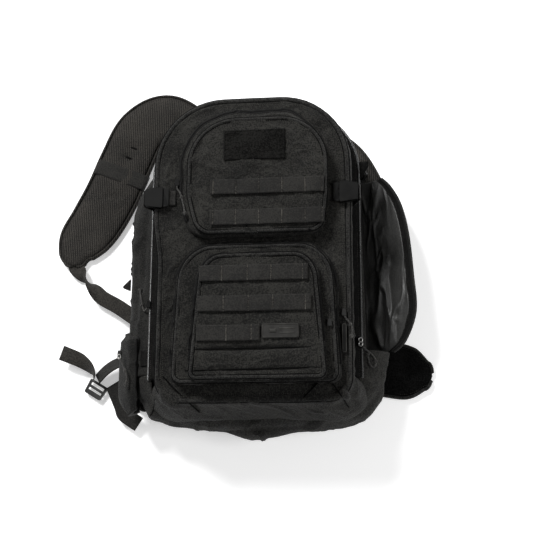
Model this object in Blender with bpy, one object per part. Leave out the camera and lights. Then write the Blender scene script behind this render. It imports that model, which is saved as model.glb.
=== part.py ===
"""Trauma backpack lying on its back, opened at the right-hand side of its main zip.

Millimetres in the constants, metres in the meshes.  +Z points out of the front panel,
+Y towards the top of the pack, +X to the right.  The origin is the middle of the back.
"""
import math

import bmesh
import bpy

MM = 0.001
GAP = 0.3

# ---- depth levels, from the floor upwards
PAD_TOP = 16.0
BACK_LOW, BACK_TOP = 16.3, 22.0
GUSSET_LOW, GUSSET_TOP = 22.3, 112.0
REAR_TAPE_TOP = 114.0
FRONT_LOW = 116.3
FRONT_WALL_TOP = 157.5
PANEL_LOW, PANEL_TOP = 157.8, 163.8
POCKET_LOW = 164.1
UPPER_WALL_TOP, UPPER_LID_TOP = 186.0, 192.0
LOWER_WALL_TOP, LOWER_LID_TOP = 183.0, 187.0
FRONT_POCKET_TOP, FRONT_LID_TOP = 203.0, 208.5

# ---- main shell outline
BACK_HALF, BACK_UP, BACK_DOWN = 172.0, 262.0, -246.0
CROWN_R, FOOT_R = 112.0, 42.0
SIDE_BULGE, CROWN_BULGE, CORNER_BULGE = 47.0, 6.0, 24.0
BULGE_START, BULGE_FULL = 180.0, 90.0
RIGHT_GUSSET_END = 165.0
LEFT_GUSSET_END = -187.0
RIGHT_BASE_END = -150.0
WALL = 4.0
TAPE_OUT, TAPE_IN = -1.0, -18.0

# ---- front section
FRONT_HALF, FRONT_UP, FRONT_DOWN, FRONT_FOOT_R = 158.0, 264.0, -236.0, 36.0
PIPE_R = 3.0

# ---- webbing and buckles
WEB = 25.0
WEB_T = 1.6
SAG = 3.5
BUCKLE_Y = 96.0

# ---- shoulder straps and hip wings
STRAP_LOW, STRAP_TOP = 0.6, 13.0
LEFT_ROOT, RIGHT_ROOT = (-70.0, 232.0, 60.0), (68.0, 236.0, 66.0)
CORD_D = 3.0

COLOURS = {
    "nylon": ((0.022, 0.021, 0.020), 0.78, 0.0),
    "lining": ((0.030, 0.030, 0.031), 0.38, 0.0),
    "spacer_mesh": ((0.018, 0.018, 0.018), 0.92, 0.0),
    "webbing": ((0.020, 0.020, 0.019), 0.66, 0.0),
    "loop_pile": ((0.010, 0.010, 0.010), 0.98, 0.0),
    "buckle_plastic": ((0.016, 0.016, 0.016), 0.32, 0.0),
    "zip_tape": ((0.015, 0.015, 0.015), 0.60, 0.0),
    "slider_metal": ((0.10, 0.10, 0.10), 0.28, 0.9),
    "rubber": ((0.020, 0.020, 0.020), 0.48, 0.0),
    "cord": ((0.020, 0.020, 0.020), 0.72, 0.0),
}


def clear_scene():
    for item in list(bpy.data.objects):
        bpy.data.objects.remove(item, do_unlink=True)


def material(slot):
    found = bpy.data.materials.get(slot)
    if found:
        return found
    colour, rough, metal = COLOURS[slot]
    made = bpy.data.materials.new(slot)
    made.use_nodes = True
    shader = made.node_tree.nodes["Principled BSDF"]
    shader.inputs["Base Color"].default_value = (*colour, 1.0)
    shader.inputs["Roughness"].default_value = rough
    shader.inputs["Metallic"].default_value = metal
    return made


def add_mesh(name, verts, faces, slot, origin=(0.0, 0.0, 0.0), smooth=False):
    """Make one closed body; origin is in millimetres and becomes the object's own origin."""
    mesh = bpy.data.meshes.new(name)
    local = [tuple((v[i] - origin[i]) * MM for i in range(3)) for v in verts]
    mesh.from_pydata(local, [], faces)
    work = bmesh.new()
    work.from_mesh(mesh)
    bmesh.ops.remove_doubles(work, verts=work.verts, dist=0.00001)
    bmesh.ops.recalc_face_normals(work, faces=work.faces)
    work.to_mesh(mesh)
    work.free()
    obj = bpy.data.objects.new(name, mesh)
    obj.location = tuple(c * MM for c in origin)
    bpy.context.collection.objects.link(obj)
    mesh.materials.append(material(slot))
    if smooth:
        for face in mesh.polygons:
            face.use_smooth = True
    return obj


def skin(name, sections, slot, closed=False, origin=(0.0, 0.0, 0.0), smooth=False):
    """Join equal polygons in order; cap both ends, or close the run on itself."""
    size = len(sections[0])
    verts = [p for section in sections for p in section]
    count = len(sections)
    faces = []
    for i in range(count if closed else count - 1):
        a = i * size
        b = ((i + 1) % count) * size
        for k in range(size):
            n = (k + 1) % size
            faces.append((a + k, a + n, b + n, b + k))
    if not closed:
        faces.append(tuple(range(size)))
        faces.append(tuple(range((count - 1) * size, count * size)))
    return add_mesh(name, verts, faces, slot, origin, smooth)


def fillet(points, radii, steps=6, closed=False):
    """Round the corners of a flat polyline."""
    result = []
    count = len(points)
    for i, (p, r) in enumerate(zip(points, radii)):
        if r <= 0 or (not closed and i in (0, count - 1)):
            result.append(p)
            continue
        a = points[i - 1]
        b = points[(i + 1) % count]
        ua = (a[0] - p[0], a[1] - p[1])
        ub = (b[0] - p[0], b[1] - p[1])
        la = math.hypot(*ua)
        lb = math.hypot(*ub)
        ua = (ua[0] / la, ua[1] / la)
        ub = (ub[0] / lb, ub[1] / lb)
        half = math.acos(max(-1.0, min(1.0, ua[0] * ub[0] + ua[1] * ub[1]))) / 2
        run = r / math.tan(half)
        mid = (ua[0] + ub[0], ua[1] + ub[1])
        lm = math.hypot(*mid)
        centre = (p[0] + mid[0] / lm * r / math.sin(half), p[1] + mid[1] / lm * r / math.sin(half))
        start = (p[0] + ua[0] * run, p[1] + ua[1] * run)
        end = (p[0] + ub[0] * run, p[1] + ub[1] * run)
        a0 = math.atan2(start[1] - centre[1], start[0] - centre[0])
        a1 = math.atan2(end[1] - centre[1], end[0] - centre[0])
        turn = (a1 - a0 + math.pi) % (2 * math.pi) - math.pi
        for k in range(steps + 1):
            ang = a0 + turn * k / steps
            result.append((centre[0] + r * math.cos(ang), centre[1] + r * math.sin(ang)))
    return result


def even(points, step, closed=False):
    """Walk a polyline and drop points at an even spacing."""
    chain = list(points) + ([points[0]] if closed else [])
    lengths = [math.dist(chain[i], chain[i + 1]) for i in range(len(chain) - 1)]
    total = sum(lengths)
    count = max(3, round(total / step))
    marks = [total * k / count for k in range(count if closed else count + 1)]
    result = []
    for mark in marks:
        left = mark
        for i, seg in enumerate(lengths):
            if left <= seg or i == len(lengths) - 1:
                t = min(1.0, left / seg) if seg else 0.0
                a, b = chain[i], chain[i + 1]
                result.append(tuple(a[k] + (b[k] - a[k]) * t for k in range(len(a))))
                break
            left -= seg
    return result


def arch(half, top, bottom, r_top, r_low, cx=0.0, step=0.0):
    """Counter-clockwise panel outline with a rounded crown and foot."""
    corners = [(cx + half, bottom), (cx + half, top), (cx - half, top), (cx - half, bottom)]
    shape = fillet(corners, (r_low, r_top, r_top, r_low), 7, closed=True)
    return even(shape, step, closed=True) if step else shape


def outward(points, closed):
    """Unit normals on the right-hand side of a counter-clockwise run."""
    result = []
    last = len(points) - 1
    for i in range(len(points)):
        a = points[i - 1] if closed or i > 0 else points[i]
        b = points[(i + 1) % len(points)] if closed or i < last else points[i]
        dx, dy = b[0] - a[0], b[1] - a[1]
        size = math.hypot(dx, dy)
        result.append((dy / size, -dx / size))
    return result


def grow(points, amount):
    """Move a closed outline outwards."""
    return [(p[0] + n[0] * amount, p[1] + n[1] * amount)
            for p, n in zip(points, outward(points, True))]


def wall(name, path, profile, slot, closed=False, origin=(0, 0, 0), smooth=False):
    """Carry a profile of (outward offset, height) round a flat path."""
    sections = []
    for p, n in zip(path, outward(path, closed)):
        shape = profile(p) if callable(profile) else profile
        sections.append([(p[0] + n[0] * o, p[1] + n[1] * o, z) for o, z in shape])
    return skin(name, sections, slot, closed, origin, smooth)


def slab(name, outline, low, high, slot, origin=(0, 0, 0)):
    """Flat plate over an outline."""
    rings = [[(x, y, z) for x, y in outline] for z in (low, high)]
    return skin(name, rings, slot, origin=origin)


def funnel(name, lower, upper, low, high, thick, slot, origin=(0, 0, 0)):
    """Gusset ring that leans from one outline to another."""
    outer_low = [(x, y, low) for x, y in lower]
    outer_high = [(x, y, high) for x, y in upper]
    inner_high = [(x, y, high) for x, y in grow(upper, -thick)]
    inner_low = [(x, y, low) for x, y in grow(lower, -thick)]
    sections = [list(group) for group in zip(outer_low, outer_high, inner_high, inner_low)]
    return skin(name, sections, slot, closed=True, origin=origin)


def ribbon(name, route, width, thick, slot, origin=(0, 0, 0)):
    """Flat band along 3-D points; each point may carry its own half-width direction."""
    sections = []
    count = len(route)
    for i, item in enumerate(route):
        p, across = item[0], item[1]
        a = route[max(0, i - 1)][0]
        b = route[min(count - 1, i + 1)][0]
        run = [b[k] - a[k] for k in range(3)]
        size = math.sqrt(sum(c * c for c in run))
        run = [c / size for c in run]
        dot = sum(run[k] * across[k] for k in range(3))
        side = [across[k] - run[k] * dot for k in range(3)]
        size = math.sqrt(sum(c * c for c in side))
        side = [c / size for c in side]
        up = [side[1] * run[2] - side[2] * run[1], side[2] * run[0] - side[0] * run[2],
              side[0] * run[1] - side[1] * run[0]]
        w = (item[2] if len(item) > 2 else width) / 2
        t = thick / 2
        sections.append([tuple(p[k] + side[k] * sw * w + up[k] * st * t for k in range(3))
                         for sw, st in ((-1, -1), (1, -1), (1, 1), (-1, 1))])
    return skin(name, sections, slot, origin=origin)


def smooth_run(points, per=6):
    """Smooth curve through hand-placed points."""
    result = []
    count = len(points)
    for i in range(count - 1):
        p0 = points[max(0, i - 1)]
        p1, p2 = points[i], points[i + 1]
        p3 = points[min(count - 1, i + 2)]
        for k in range(per):
            t = k / per
            result.append(tuple(
                0.5 * (2 * b + (c - a) * t + (2 * a - 5 * b + 4 * c - d) * t * t
                       + (3 * b - a - 3 * c + d) * t ** 3)
                for a, b, c, d in zip(p0, p1, p2, p3)))
    result.append(tuple(points[-1]))
    return result


def cord(name, points, diameter, slot):
    """Plain round cord as a poly curve with filled ends."""
    curve = bpy.data.curves.new(name, "CURVE")
    curve.dimensions = "3D"
    curve.bevel_depth = diameter / 2 * MM
    curve.bevel_resolution = 2
    curve.use_fill_caps = True
    spline = curve.splines.new("POLY")
    run = even(smooth_run(points), diameter * 2.2)
    spline.points.add(len(run) - 1)
    for point, target in zip(spline.points, run):
        point.co = (*(c * MM for c in target), 1.0)
    obj = bpy.data.objects.new(name, curve)
    curve.materials.append(material(slot))
    bpy.context.collection.objects.link(obj)
    return obj


def block(x0, x1, y0, y1, z0, z1):
    verts = [(x, y, z) for z in (z0, z1) for x, y in ((x0, y0), (x1, y0), (x1, y1), (x0, y1))]
    faces = [(3, 2, 1, 0), (4, 5, 6, 7), (0, 1, 5, 4), (1, 2, 6, 5), (2, 3, 7, 6), (3, 0, 4, 7)]
    return verts, faces


def carve(obj, cutters):
    """Cut blocks out of a body and keep the plain result."""
    for index, bounds in enumerate(cutters):
        cutter = add_mesh(f"cut_{index}", *block(*bounds), "nylon")
        cutter.hide_render = True
        cutter.display_type = "WIRE"
        mod = obj.modifiers.new("cut", "BOOLEAN")
        mod.operation = "DIFFERENCE"
        mod.solver = "EXACT"
        mod.object = cutter
        bpy.context.view_layer.update()
        graph = bpy.context.evaluated_depsgraph_get()
        mesh = bpy.data.meshes.new_from_object(obj.evaluated_get(graph))
        obj.modifiers.remove(mod)
        obj.data = mesh
        bpy.data.objects.remove(cutter, do_unlink=True)
    return obj


def bulge_at(p):
    """How far the side gusset swells at one place round the pack."""
    t = (p[1] - BULGE_FULL) / (BULGE_START - BULGE_FULL)
    t = max(0.0, min(1.0, t))
    t = t * t * (3 - 2 * t)
    side = SIDE_BULGE * (1 - t) + CROWN_BULGE * t
    foot = max(0.0, min(1.0, (-170.0 - p[1]) / 70.0))
    corner = max(0.0, 1 - ((abs(p[0]) - 150.0) / 150.0) ** 2) if abs(p[0]) < 150 else 1.0
    low = SIDE_BULGE - 5.0 - (SIDE_BULGE - 5.0 - CORNER_BULGE) * corner ** 2
    return side * (1 - foot) + low * foot


def rear_profile(top):
    """Swelling gusset wall from the back panel up to the main zip."""
    def shape(p):
        b = bulge_at(p)
        return [(0.0, GUSSET_LOW), (0.62 * b, 42.0), (b, 70.0), (0.62 * b, 96.0), (-4.0, top),
                (-4.0 - WALL, top), (0.62 * b - WALL - 0.6, 95.0), (b - WALL, 70.0),
                (0.62 * b - WALL - 0.6, 43.0), (-WALL, GUSSET_LOW)]
    return shape


def rear_shell():
    slab("back_panel", arch(BACK_HALF, BACK_UP, BACK_DOWN, CROWN_R, FOOT_R), BACK_LOW, BACK_TOP, "nylon")
    pads = (("upper_back_pad", arch(64, 190, 62, 22, 22), 0.0),
            ("middle_back_pad", arch(110, 48, -48, 20, 20), 0.0),
            ("lumbar_pad", arch(112, -64, -212, 26, 40), 0.0))
    for name, shape, low in pads:
        slab(name, shape, low, PAD_TOP, "spacer_mesh")
    yoke = fillet([(-98, 200), (96, 200), (84, 254), (-72, 254)], (10, 10, 14, 14), 4, closed=True)
    slab("harness_yoke", yoke, STRAP_TOP + GAP, PAD_TOP, "nylon")
    corners = [(BACK_HALF, RIGHT_GUSSET_END), (BACK_HALF, BACK_UP), (-BACK_HALF, BACK_UP),
               (-BACK_HALF, LEFT_GUSSET_END)]
    rim = even(fillet(corners, (0, CROWN_R, CROWN_R, 0), 12), 18)
    wall("rear_gusset", rim, rear_profile(GUSSET_TOP), "nylon", smooth=True)
    tape = [(TAPE_IN, GUSSET_TOP + GAP), (TAPE_OUT, GUSSET_TOP + GAP),
            (TAPE_OUT, REAR_TAPE_TOP), (TAPE_IN, REAR_TAPE_TOP)]
    wall("main_zip_tape_rear", rim, tape, "zip_tape")
    tape = [(o, z + REAR_TAPE_TOP - GUSSET_TOP) for o, z in tape]
    run = [(BACK_HALF, -196.0), (BACK_HALF, BACK_UP), (-BACK_HALF, BACK_UP), (-BACK_HALF, -196.0)]
    wall("main_zip_tape_front", even(fillet(run, (0, CROWN_R, CROWN_R, 0), 12), 18), tape, "zip_tape")
    low = [(-BACK_HALF, LEFT_GUSSET_END - GAP), (-BACK_HALF, BACK_DOWN), (BACK_HALF, BACK_DOWN),
           (BACK_HALF, RIGHT_BASE_END)]
    rim = even(fillet(low, (0, FOOT_R, FOOT_R, 0), 8), 16)
    wall("base_panel", rim, rear_profile(REAR_TAPE_TOP - GAP), "nylon", smooth=True)
    pouch()
    slab("side_tab", [(-219.6, -14), (-236, -30), (-219.6, -37)], 66.5, 68.5, "webbing")


def pouch():
    """Zipped pouch sewn low on the left gusset."""
    b = SIDE_BULGE
    shape = [(0.62 * b + 0.6, 42.0), (0.62 * b + 15, 38.0), (b + 12, 52.0), (b + 18, 72.0),
             (0.62 * b + 22, 98.0), (0.62 * b + 8, 104.0), (0.62 * b + 0.8, 97.0), (b + 0.8, 70.0)]
    corners = [(-BACK_HALF, -112.0), (-BACK_HALF, BACK_DOWN), (-100.0, BACK_DOWN)]
    run = fillet(corners, (0, FOOT_R, 0), 8)
    run = even([p for p in run if p[1] > -226.0], 12)
    wall("left_side_pouch", run, shape, "nylon", smooth=True)


def front_section():
    rim = arch(FRONT_HALF, FRONT_UP, FRONT_DOWN, CROWN_R, FRONT_FOOT_R, step=20)
    side = [(-1.0, FRONT_LOW), (4.0, 135.0), (-1.5, FRONT_WALL_TOP), (-5.5, FRONT_WALL_TOP),
            (0.0, 135.0), (-5.0, FRONT_LOW)]
    wall("front_gusset", rim, side, "nylon", closed=True, smooth=True)
    slab("front_panel", grow(rim, -1.6 - PIPE_R - GAP), PANEL_LOW, PANEL_TOP, "nylon")
    bead = [(-1.5 + PIPE_R * math.cos(a * math.pi / 4), 160.9 + PIPE_R * math.sin(a * math.pi / 4))
            for a in range(8)]
    wall("front_piping", rim, bead, "nylon", closed=True, smooth=True)


def upper_pocket():
    low = arch(121, 245, 28, 92, 22, cx=4, step=18)
    high = arch(111, 219, 29, 76, 18, cx=13)
    high = even(high, 1.0, closed=True)
    high = match(low, high)
    funnel("upper_pocket_gusset", low, high, POCKET_LOW, UPPER_WALL_TOP, 3.0, "nylon")
    hinge = (13.0, 28.5, UPPER_WALL_TOP + GAP / 2)
    slab("upper_pocket_cover", high, UPPER_WALL_TOP + GAP, UPPER_LID_TOP, "nylon", hinge)
    z = UPPER_LID_TOP + GAP
    slab("loop_patch", arch(50, 199, 148, 2, 2, cx=9), z, z + 2.2, "loop_pile", hinge)
    for index, y in enumerate((103.0, 52.0)):
        slab(f"upper_molle_row_{index + 1}", bar(-62, 121, y, WEB), z, z + 2.0, "webbing", hinge)


def bar(x0, x1, y, height):
    return [(x0, y - height / 2), (x1, y - height / 2), (x1, y + height / 2), (x0, y + height / 2)]


def match(lower, upper):
    """Nearest points of one outline to another by direction from its middle."""
    cx = sum(p[0] for p in upper) / len(upper)
    cy = sum(p[1] for p in upper) / len(upper)
    dx = sum(p[0] for p in lower) / len(lower)
    dy = sum(p[1] for p in lower) / len(lower)
    result = []
    for p in lower:
        want = math.atan2(p[1] - dy, p[0] - dx)
        result.append(min(upper, key=lambda q: abs(
            (math.atan2(q[1] - cy, q[0] - cx) - want + math.pi) % (2 * math.pi) - math.pi)))
    return result


def lower_pocket():
    low = arch(135, 16, -208, 60, 14, cx=8.5, step=18)
    high = match(low, even(arch(128, 6, -208, 55, 14, cx=10), 1.0, closed=True))
    funnel("lower_pocket_gusset", low, high, POCKET_LOW, LOWER_WALL_TOP, 3.0, "nylon")
    hinge = (10.0, -208.5, LOWER_WALL_TOP + GAP / 2)
    slab("lower_pocket_cover", high, LOWER_WALL_TOP + GAP, LOWER_LID_TOP, "nylon", hinge)
    low = arch(109, -8, -205, 40, 10, cx=14, step=18)
    high = match(low, even(arch(104, -13, -205, 38, 10, cx=17), 1.0, closed=True))
    funnel("front_pocket_gusset", low, high, LOWER_LID_TOP + GAP, FRONT_POCKET_TOP, 3.0, "nylon", hinge)
    hinge = (17.0, -205.5, FRONT_POCKET_TOP + GAP / 2)
    slab("front_pocket_cover", high, FRONT_POCKET_TOP + GAP, FRONT_LID_TOP, "nylon", hinge)
    z = FRONT_LID_TOP + GAP
    rows = ((-43.0, -80.0, 112.0), (-91.0, -80.0, 113.0), (-137.0, -80.0, 22.0))
    for index, (y, x0, x1) in enumerate(rows):
        slab(f"lower_molle_row_{index + 1}", bar(x0, x1, y, WEB), z, z + 2.0, "webbing", hinge)
    slab("rubber_patch", fillet(bar(25, 82, -135.0, 23.0), (3, 3, 3, 3), 3, closed=True),
         z, z + 2.4, "rubber", hinge)


def buckle(side, word):
    """Side-release buckle: housing at the pack's edge, tongue pointing outwards into it."""
    z0, z1 = 165.0, 174.0
    y = BUCKLE_Y
    x_out, x_in = 174.0, 144.0
    def span(a, b):
        return (min(side * a, side * b), max(side * a, side * b))
    outline = fillet([(side * x_out, y - 14), (side * x_out, y + 14), (side * x_in, y + 18),
                      (side * x_in, y - 18)], (4, 4, 3, 3), 3, closed=True)
    if side < 0:
        outline.reverse()
    body = slab(f"{word}_buckle_housing", outline, z0, z1, "buckle_plastic")
    cavity = (*span(x_in - 2, 168), y - 14.0, y + 14.0, 167.2, 171.8)
    windows = (*span(147.5, 160), y - 22, y + 22, 167.2, 171.8)
    carve(body, (cavity, windows))
    half = [(134.5, 14.5), (x_in - 1.0, 16.0), (x_in - 1.0, 13.2), (149.0, 13.4), (152.5, 11.0),
            (152.5, 8.5), (148.0, 9.0), (x_in - 1.0, 5.5), (x_in - 1.0, 2.6), (152.0, 2.6)]
    plan = [(side * a, y + b) for a, b in half] + [(side * a, y - b) for a, b in reversed(half)]
    tongue_low, tongue_high = 167.6, 171.4
    slab(f"{word}_buckle_tongue", plan, tongue_low, tongue_high, "buckle_plastic",
         (side * 140.0, y, 169.5))
    mid = 164.9
    across = (0, 1, 0)
    ribbon(f"{word}_buckle_webbing",
           [((side * 126.2, y, mid), across), ((side * 130.5, y, mid), across),
            ((side * 133.4, y, 167.6), across)], WEB, 1.4, "webbing")
    route = [((side * (x_out + 1.6), y, 170.0), across), ((side * (x_out + 2.6), y, 163.0), across),
             ((side * (x_out - 3.0), y, 148.0), across), ((side * (x_out - 9.0), y, 130.0), across)]
    ribbon(f"{word}_compression_webbing", route, WEB, WEB_T, "webbing")


def right_flap():
    """Right-hand gusset wall, unzipped and fallen open with its lining uppermost."""
    foot_x, foot_z = 176.5, 24.5
    lean = math.radians(55)
    ends = ((-146.0, 82.0), (-124.0, 94.0), (-83.0, 103.0), (-23.0, 99.0), (47.0, 92.0), (100.0, 79.0),
            (135.0, 60.0), (155.0, 42.0))
    run = smooth_run(ends, 2)
    along = (math.sin(lean), math.cos(lean))
    normal = (-along[1], along[0])
    origin = (foot_x, -24.0, foot_z)

    def layer(name, low, high, start, stop, slot):
        sections = []
        for y, reach in run:
            a = start if start >= 0 else reach + start
            b = reach + stop
            marks = (a, reach / 2, b) if a < reach / 2 < b else (a, b)
            sag = [(u, SAG * (1 - abs(2 * u / reach - 1))) for u in marks]
            while len(sag) < 3:
                mid = [(p + q) / 2 for p, q in zip(sag[0], sag[1])]
                sag.insert(1, tuple(mid))
            ring = [(u, low - d) for u, d in sag] + [(u, high - d) for u, d in reversed(sag)]
            sections.append([(foot_x + along[0] * u + normal[0] * w, y,
                              foot_z + along[1] * u + normal[1] * w) for u, w in ring])
        skin(name, sections, slot, origin=origin)

    layer("right_flap_shell", -1.4, 1.4, 0.0, 0.0, "nylon")
    layer("right_flap_lining", 2.2, 3.4, 3.0, -12.5, "lining")
    layer("right_flap_zip_tape", 2.2, 3.8, -11.0, 0.0, "zip_tape")


def slider(name, x, y, z, along_y=11.0, wide=7.5, tall=4.6):
    """Zip slider: a body with a waist and a bridge on top."""
    plan = [(x - wide / 2, y - along_y / 2), (x + wide / 2, y - along_y / 2),
            (x + wide / 2 - 1.2, y + along_y / 2), (x - wide / 2 + 1.2, y + along_y / 2)]
    body = slab(name, fillet(plan, (1.2,) * 4, 2, closed=True), z, z + tall, "slider_metal", (x, y, z))
    slot = (x - wide, x + wide, y - 2.0, y + 2.0, z + tall - 2.6, z + tall - 1.2)
    return carve(body, (slot,))


def sliders():
    slider("main_slider_left", -175.5, -70.0, 114.4)
    slider("main_slider_right", 172.0, -140.0, 118.0)
    slider("upper_pocket_slider", -121.5, 122.0, POCKET_LOW)
    slider("lower_pocket_slider", 148.6, -100.0, POCKET_LOW)
    slider("front_pocket_slider", 127.5, -120.0, LOWER_LID_TOP + GAP)
    slider("side_pouch_slider", -225.0, -150.0, 101.5)
    tag = fillet([(144.9, -164.0), (152.6, -164.0), (152.6, -118.0), (144.9, -118.0)],
                 (2, 2, 2, 2), 3, closed=True)
    slab("rubber_pull_tag", tag, 165.2, 168.6, "rubber", (148.6, -105.0, 166.0))
    for name, points in PULLS.items():
        cord(name, points, CORD_D, "cord")


def on_slope(side, points, top=GUSSET_TOP):
    """Lay a cord on the upper slope of the side gusset, clear of the cloth by its own radius."""
    x0, z0 = BACK_HALF - WALL, top
    x1, z1 = BACK_HALF + 0.62 * SIDE_BULGE, 96.0
    return [(side * x, y, z0 + (z1 - z0) * (x - x0) / (x1 - x0) + CORD_D / 2 + 0.6) for x, y in points]


def on_upper_pocket(points):
    """Lay a cord on the sloping left wall of the upper pocket."""
    return [(x, y, POCKET_LOW + 1.15 * (x + 117.0) + 1.55 * CORD_D / 2 + 0.7) for x, y in points]


PULLS = {
    "main_pull_left": [(-178, -77, 116.5), (-181, -80.5, 110.5)] + on_slope(-1, [
        (184.0, -84), (190.0, -83), (194.5, -76), (196.0, -66), (194.5, -56), (189.0, -51), (184.5, -55),
        (183.5, -62)]),
    "main_pull_right": [(175, -147, 119.5), (180, -151, 113)] + on_slope(1, [
        (184.5, -154), (190.0, -159), (194.5, -166), (194.5, -174), (189.5, -178), (185.0, -173),
        (183.5, -166), (182.5, -160)], REAR_TAPE_TOP - GAP),
    "upper_pocket_pull": [(-121.5, 115.5, 166.4), (-119.5, 110, 168.8)] + on_upper_pocket([
        (-114.5, 103), (-110.5, 94), (-108.5, 84), (-107.5, 74), (-107.5, 64)]),
    "side_pouch_pull": [(-224, -156.5, 103.8), (-222, -163, 103.6), (-219, -171, 103.4),
                        (-216.5, -180, 103.8), (-216, -190, 103.9), (-217.5, -199, 103.4)],
}


def left_strap():
    """Contoured shoulder strap lying beside the pack on its left."""
    spine = (LEFT_ROOT, (-114.0, 262.0, 78.0), (-176.0, 299.0, 90.0), (-224.0, 277.0, 96.0),
             (-252.0, 220.0, 98.0), (-275.0, 160.0, 100.0), (-303.0, 106.0, 98.0), (-327.0, 72.0, 88.0),
             (-338.0, 48.0, 66.0), (-340.0, 32.0, 40.0))
    origin = (*LEFT_ROOT[:2], 7.0)
    pad_strap("left_shoulder_strap", spine, origin, True)
    band = [((-265.0, 180.0, 14.2), (0.93, -0.37, 0)), ((-254.5, 206.0, 14.2), (0.93, -0.37, 0))]
    ribbon("left_strap_band", band, 95.0, 1.6, "webbing", origin)
    flat = (-0.54, -0.84, 0.0)
    route = [((-338.5, 28.5, 7), (1, 0, 0)), ((-338, 22, 8), (1, 0.1, 0)), ((-326, 11, 12), (0.85, 0.4, 0.35)),
             ((-314, -4, 15), (0.15, 0.1, 0.98)), ((-306, -13, 16), (-0.3, -0.45, 0.85)),
             ((-297, -23, 15), (-0.5, -0.7, 0.4)), ((-284, -36, 14.5), flat), ((-256, -52, 15), flat),
             ((-228, -71, 19), flat), ((-203, -88, 25), flat)]
    ribbon("left_strap_webbing", route, WEB, WEB_T, "webbing")


def right_strap():
    """Right shoulder strap, tucked under the fallen flap."""
    spine = (RIGHT_ROOT, (106.0, 230.0, 76.0), (142.0, 203.0, 80.0), (166.0, 160.0, 84.0),
             (184.0, 104.0, 88.0), (196.0, 40.0, 90.0), (200.0, -22.0, 84.0), (200.0, -66.0, 60.0))
    origin = (*RIGHT_ROOT[:2], 7.0)
    pad_strap("right_shoulder_strap", spine, origin, True)


def pad_strap(name, spine, origin, round_root=False):
    run = smooth_run(spine, 4)
    if round_root:
        x, y, w = run[0]
        dx, dy = run[1][0] - x, run[1][1] - y
        size = math.hypot(dx, dy)
        back = [(x - dx / size * w / 2 * math.sin(a), y - dy / size * w / 2 * math.sin(a), w * math.cos(a))
                for a in (1.45, 1.2, 0.85, 0.45)]
        run = back + run
    left, right = [], []
    for i, (x, y, w) in enumerate(run):
        a = run[max(0, i - 1)]
        b = run[min(len(run) - 1, i + 1)]
        dx, dy = b[0] - a[0], b[1] - a[1]
        size = math.hypot(dx, dy)
        nx, ny = dy / size, -dx / size
        left.append((x - nx * w / 2, y - ny * w / 2))
        right.append((x + nx * w / 2, y + ny * w / 2))
    sections = []
    for a, b in zip(left, right):
        inset = [(a[0] + (b[0] - a[0]) * t, a[1] + (b[1] - a[1]) * t) for t in (0.0, 0.04, 0.96, 1.0)]
        low, high = STRAP_LOW, STRAP_TOP
        mid_low, mid_high = low + 3.0, high - 3.0
        sections.append([(*inset[0], mid_high), (*inset[0], mid_low), (*inset[1], low), (*inset[2], low),
                         (*inset[3], mid_low), (*inset[3], mid_high), (*inset[2], high), (*inset[1], high)])
    skin(name, sections, "spacer_mesh", origin=origin)


def ladder(name, centre, degrees, z, origin, wide=36.0, long=26.0, tall=5.0):
    """Ladder lock: a frame with two slots, turned flat about Z."""
    turn = math.radians(degrees)
    frame = fillet([(-long / 2, -wide / 2), (long / 2, -wide / 2 + 2), (long / 2, wide / 2 - 2),
                    (-long / 2, wide / 2)], (3, 3, 3, 3), 3, closed=True)
    body = slab(name, frame, -tall / 2, tall / 2, "buckle_plastic")
    carve(body, ((-8.5, -3.5, -13.2, 13.2, -9, 9), (1.0, 5.0, -13.2, 13.2, -9, 9)))
    mesh = body.data
    for vert in mesh.vertices:
        x, y, h = (c / MM for c in vert.co)
        wx = centre[0] + x * math.cos(turn) - y * math.sin(turn)
        wy = centre[1] + x * math.sin(turn) + y * math.cos(turn)
        vert.co = ((wx - origin[0]) * MM, (wy - origin[1]) * MM, (z + h - origin[2]) * MM)
    body.location = tuple(c * MM for c in origin)
    return body


def hips():
    left = ((-135.0, -156.0, 92.0), (-164.0, -170.0, 92.0), (-196.0, -190.0, 84.0), (-218.0, -206.0, 66.0))
    right = ((124.0, -153.0, 92.0), (165.0, -158.0, 94.0), (215.0, -168.0, 92.0), (252.0, -176.0, 84.0),
             (276.0, -180.0, 48.0))
    pad_strap("left_hip_wing", left, (-118.0, -150.0, 7.0))
    pad_strap("right_hip_wing", right, (118.0, -152.0, 7.0))
    origin = (-118.0, -150.0, 7.0)
    steep, low = (0.9, 0.43, 0), (0.5, 0.86, 0)
    route = [((-261, -189, 12.2), steep), ((-256.5, -197, 12.4), steep), ((-243, -226, 14), steep),
             ((-238, -239, 15), (0.7, 0.7, 0)), ((-228, -247, 15.4), low), ((-211, -258, 15.4), low)]
    ribbon("hip_anchor_webbing", route, WEB, WEB_T, "webbing", origin)
    ladder("hip_ladder_lock", (-291.0, -197.0), -121.0, 8.0, origin)
    tail = [((-294, -178, 14), (0.25, 0.1, 0.96)), ((-295, -170, 17), (0.35, 0.25, 0.9)),
            ((-303, -158, 21), (0.5, 0.55, 0.67)), ((-318, -147, 23), (0.4, 0.85, 0.35)),
            ((-337, -139, 23), (0.35, 0.9, 0.2)), ((-352, -133, 20), (0.35, 0.92, 0.1))]
    ribbon("hip_webbing_tail", tail, WEB, WEB_T, "webbing", origin)
    edge = (0.1, -0.2, 0.97)
    side = [((-286, -180, 18), edge), ((-270, -165, 22), edge), ((-250, -154, 26), edge),
            ((-228, -149, 27), edge)]
    ribbon("hip_side_webbing", side, WEB, WEB_T, "webbing", origin)


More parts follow.
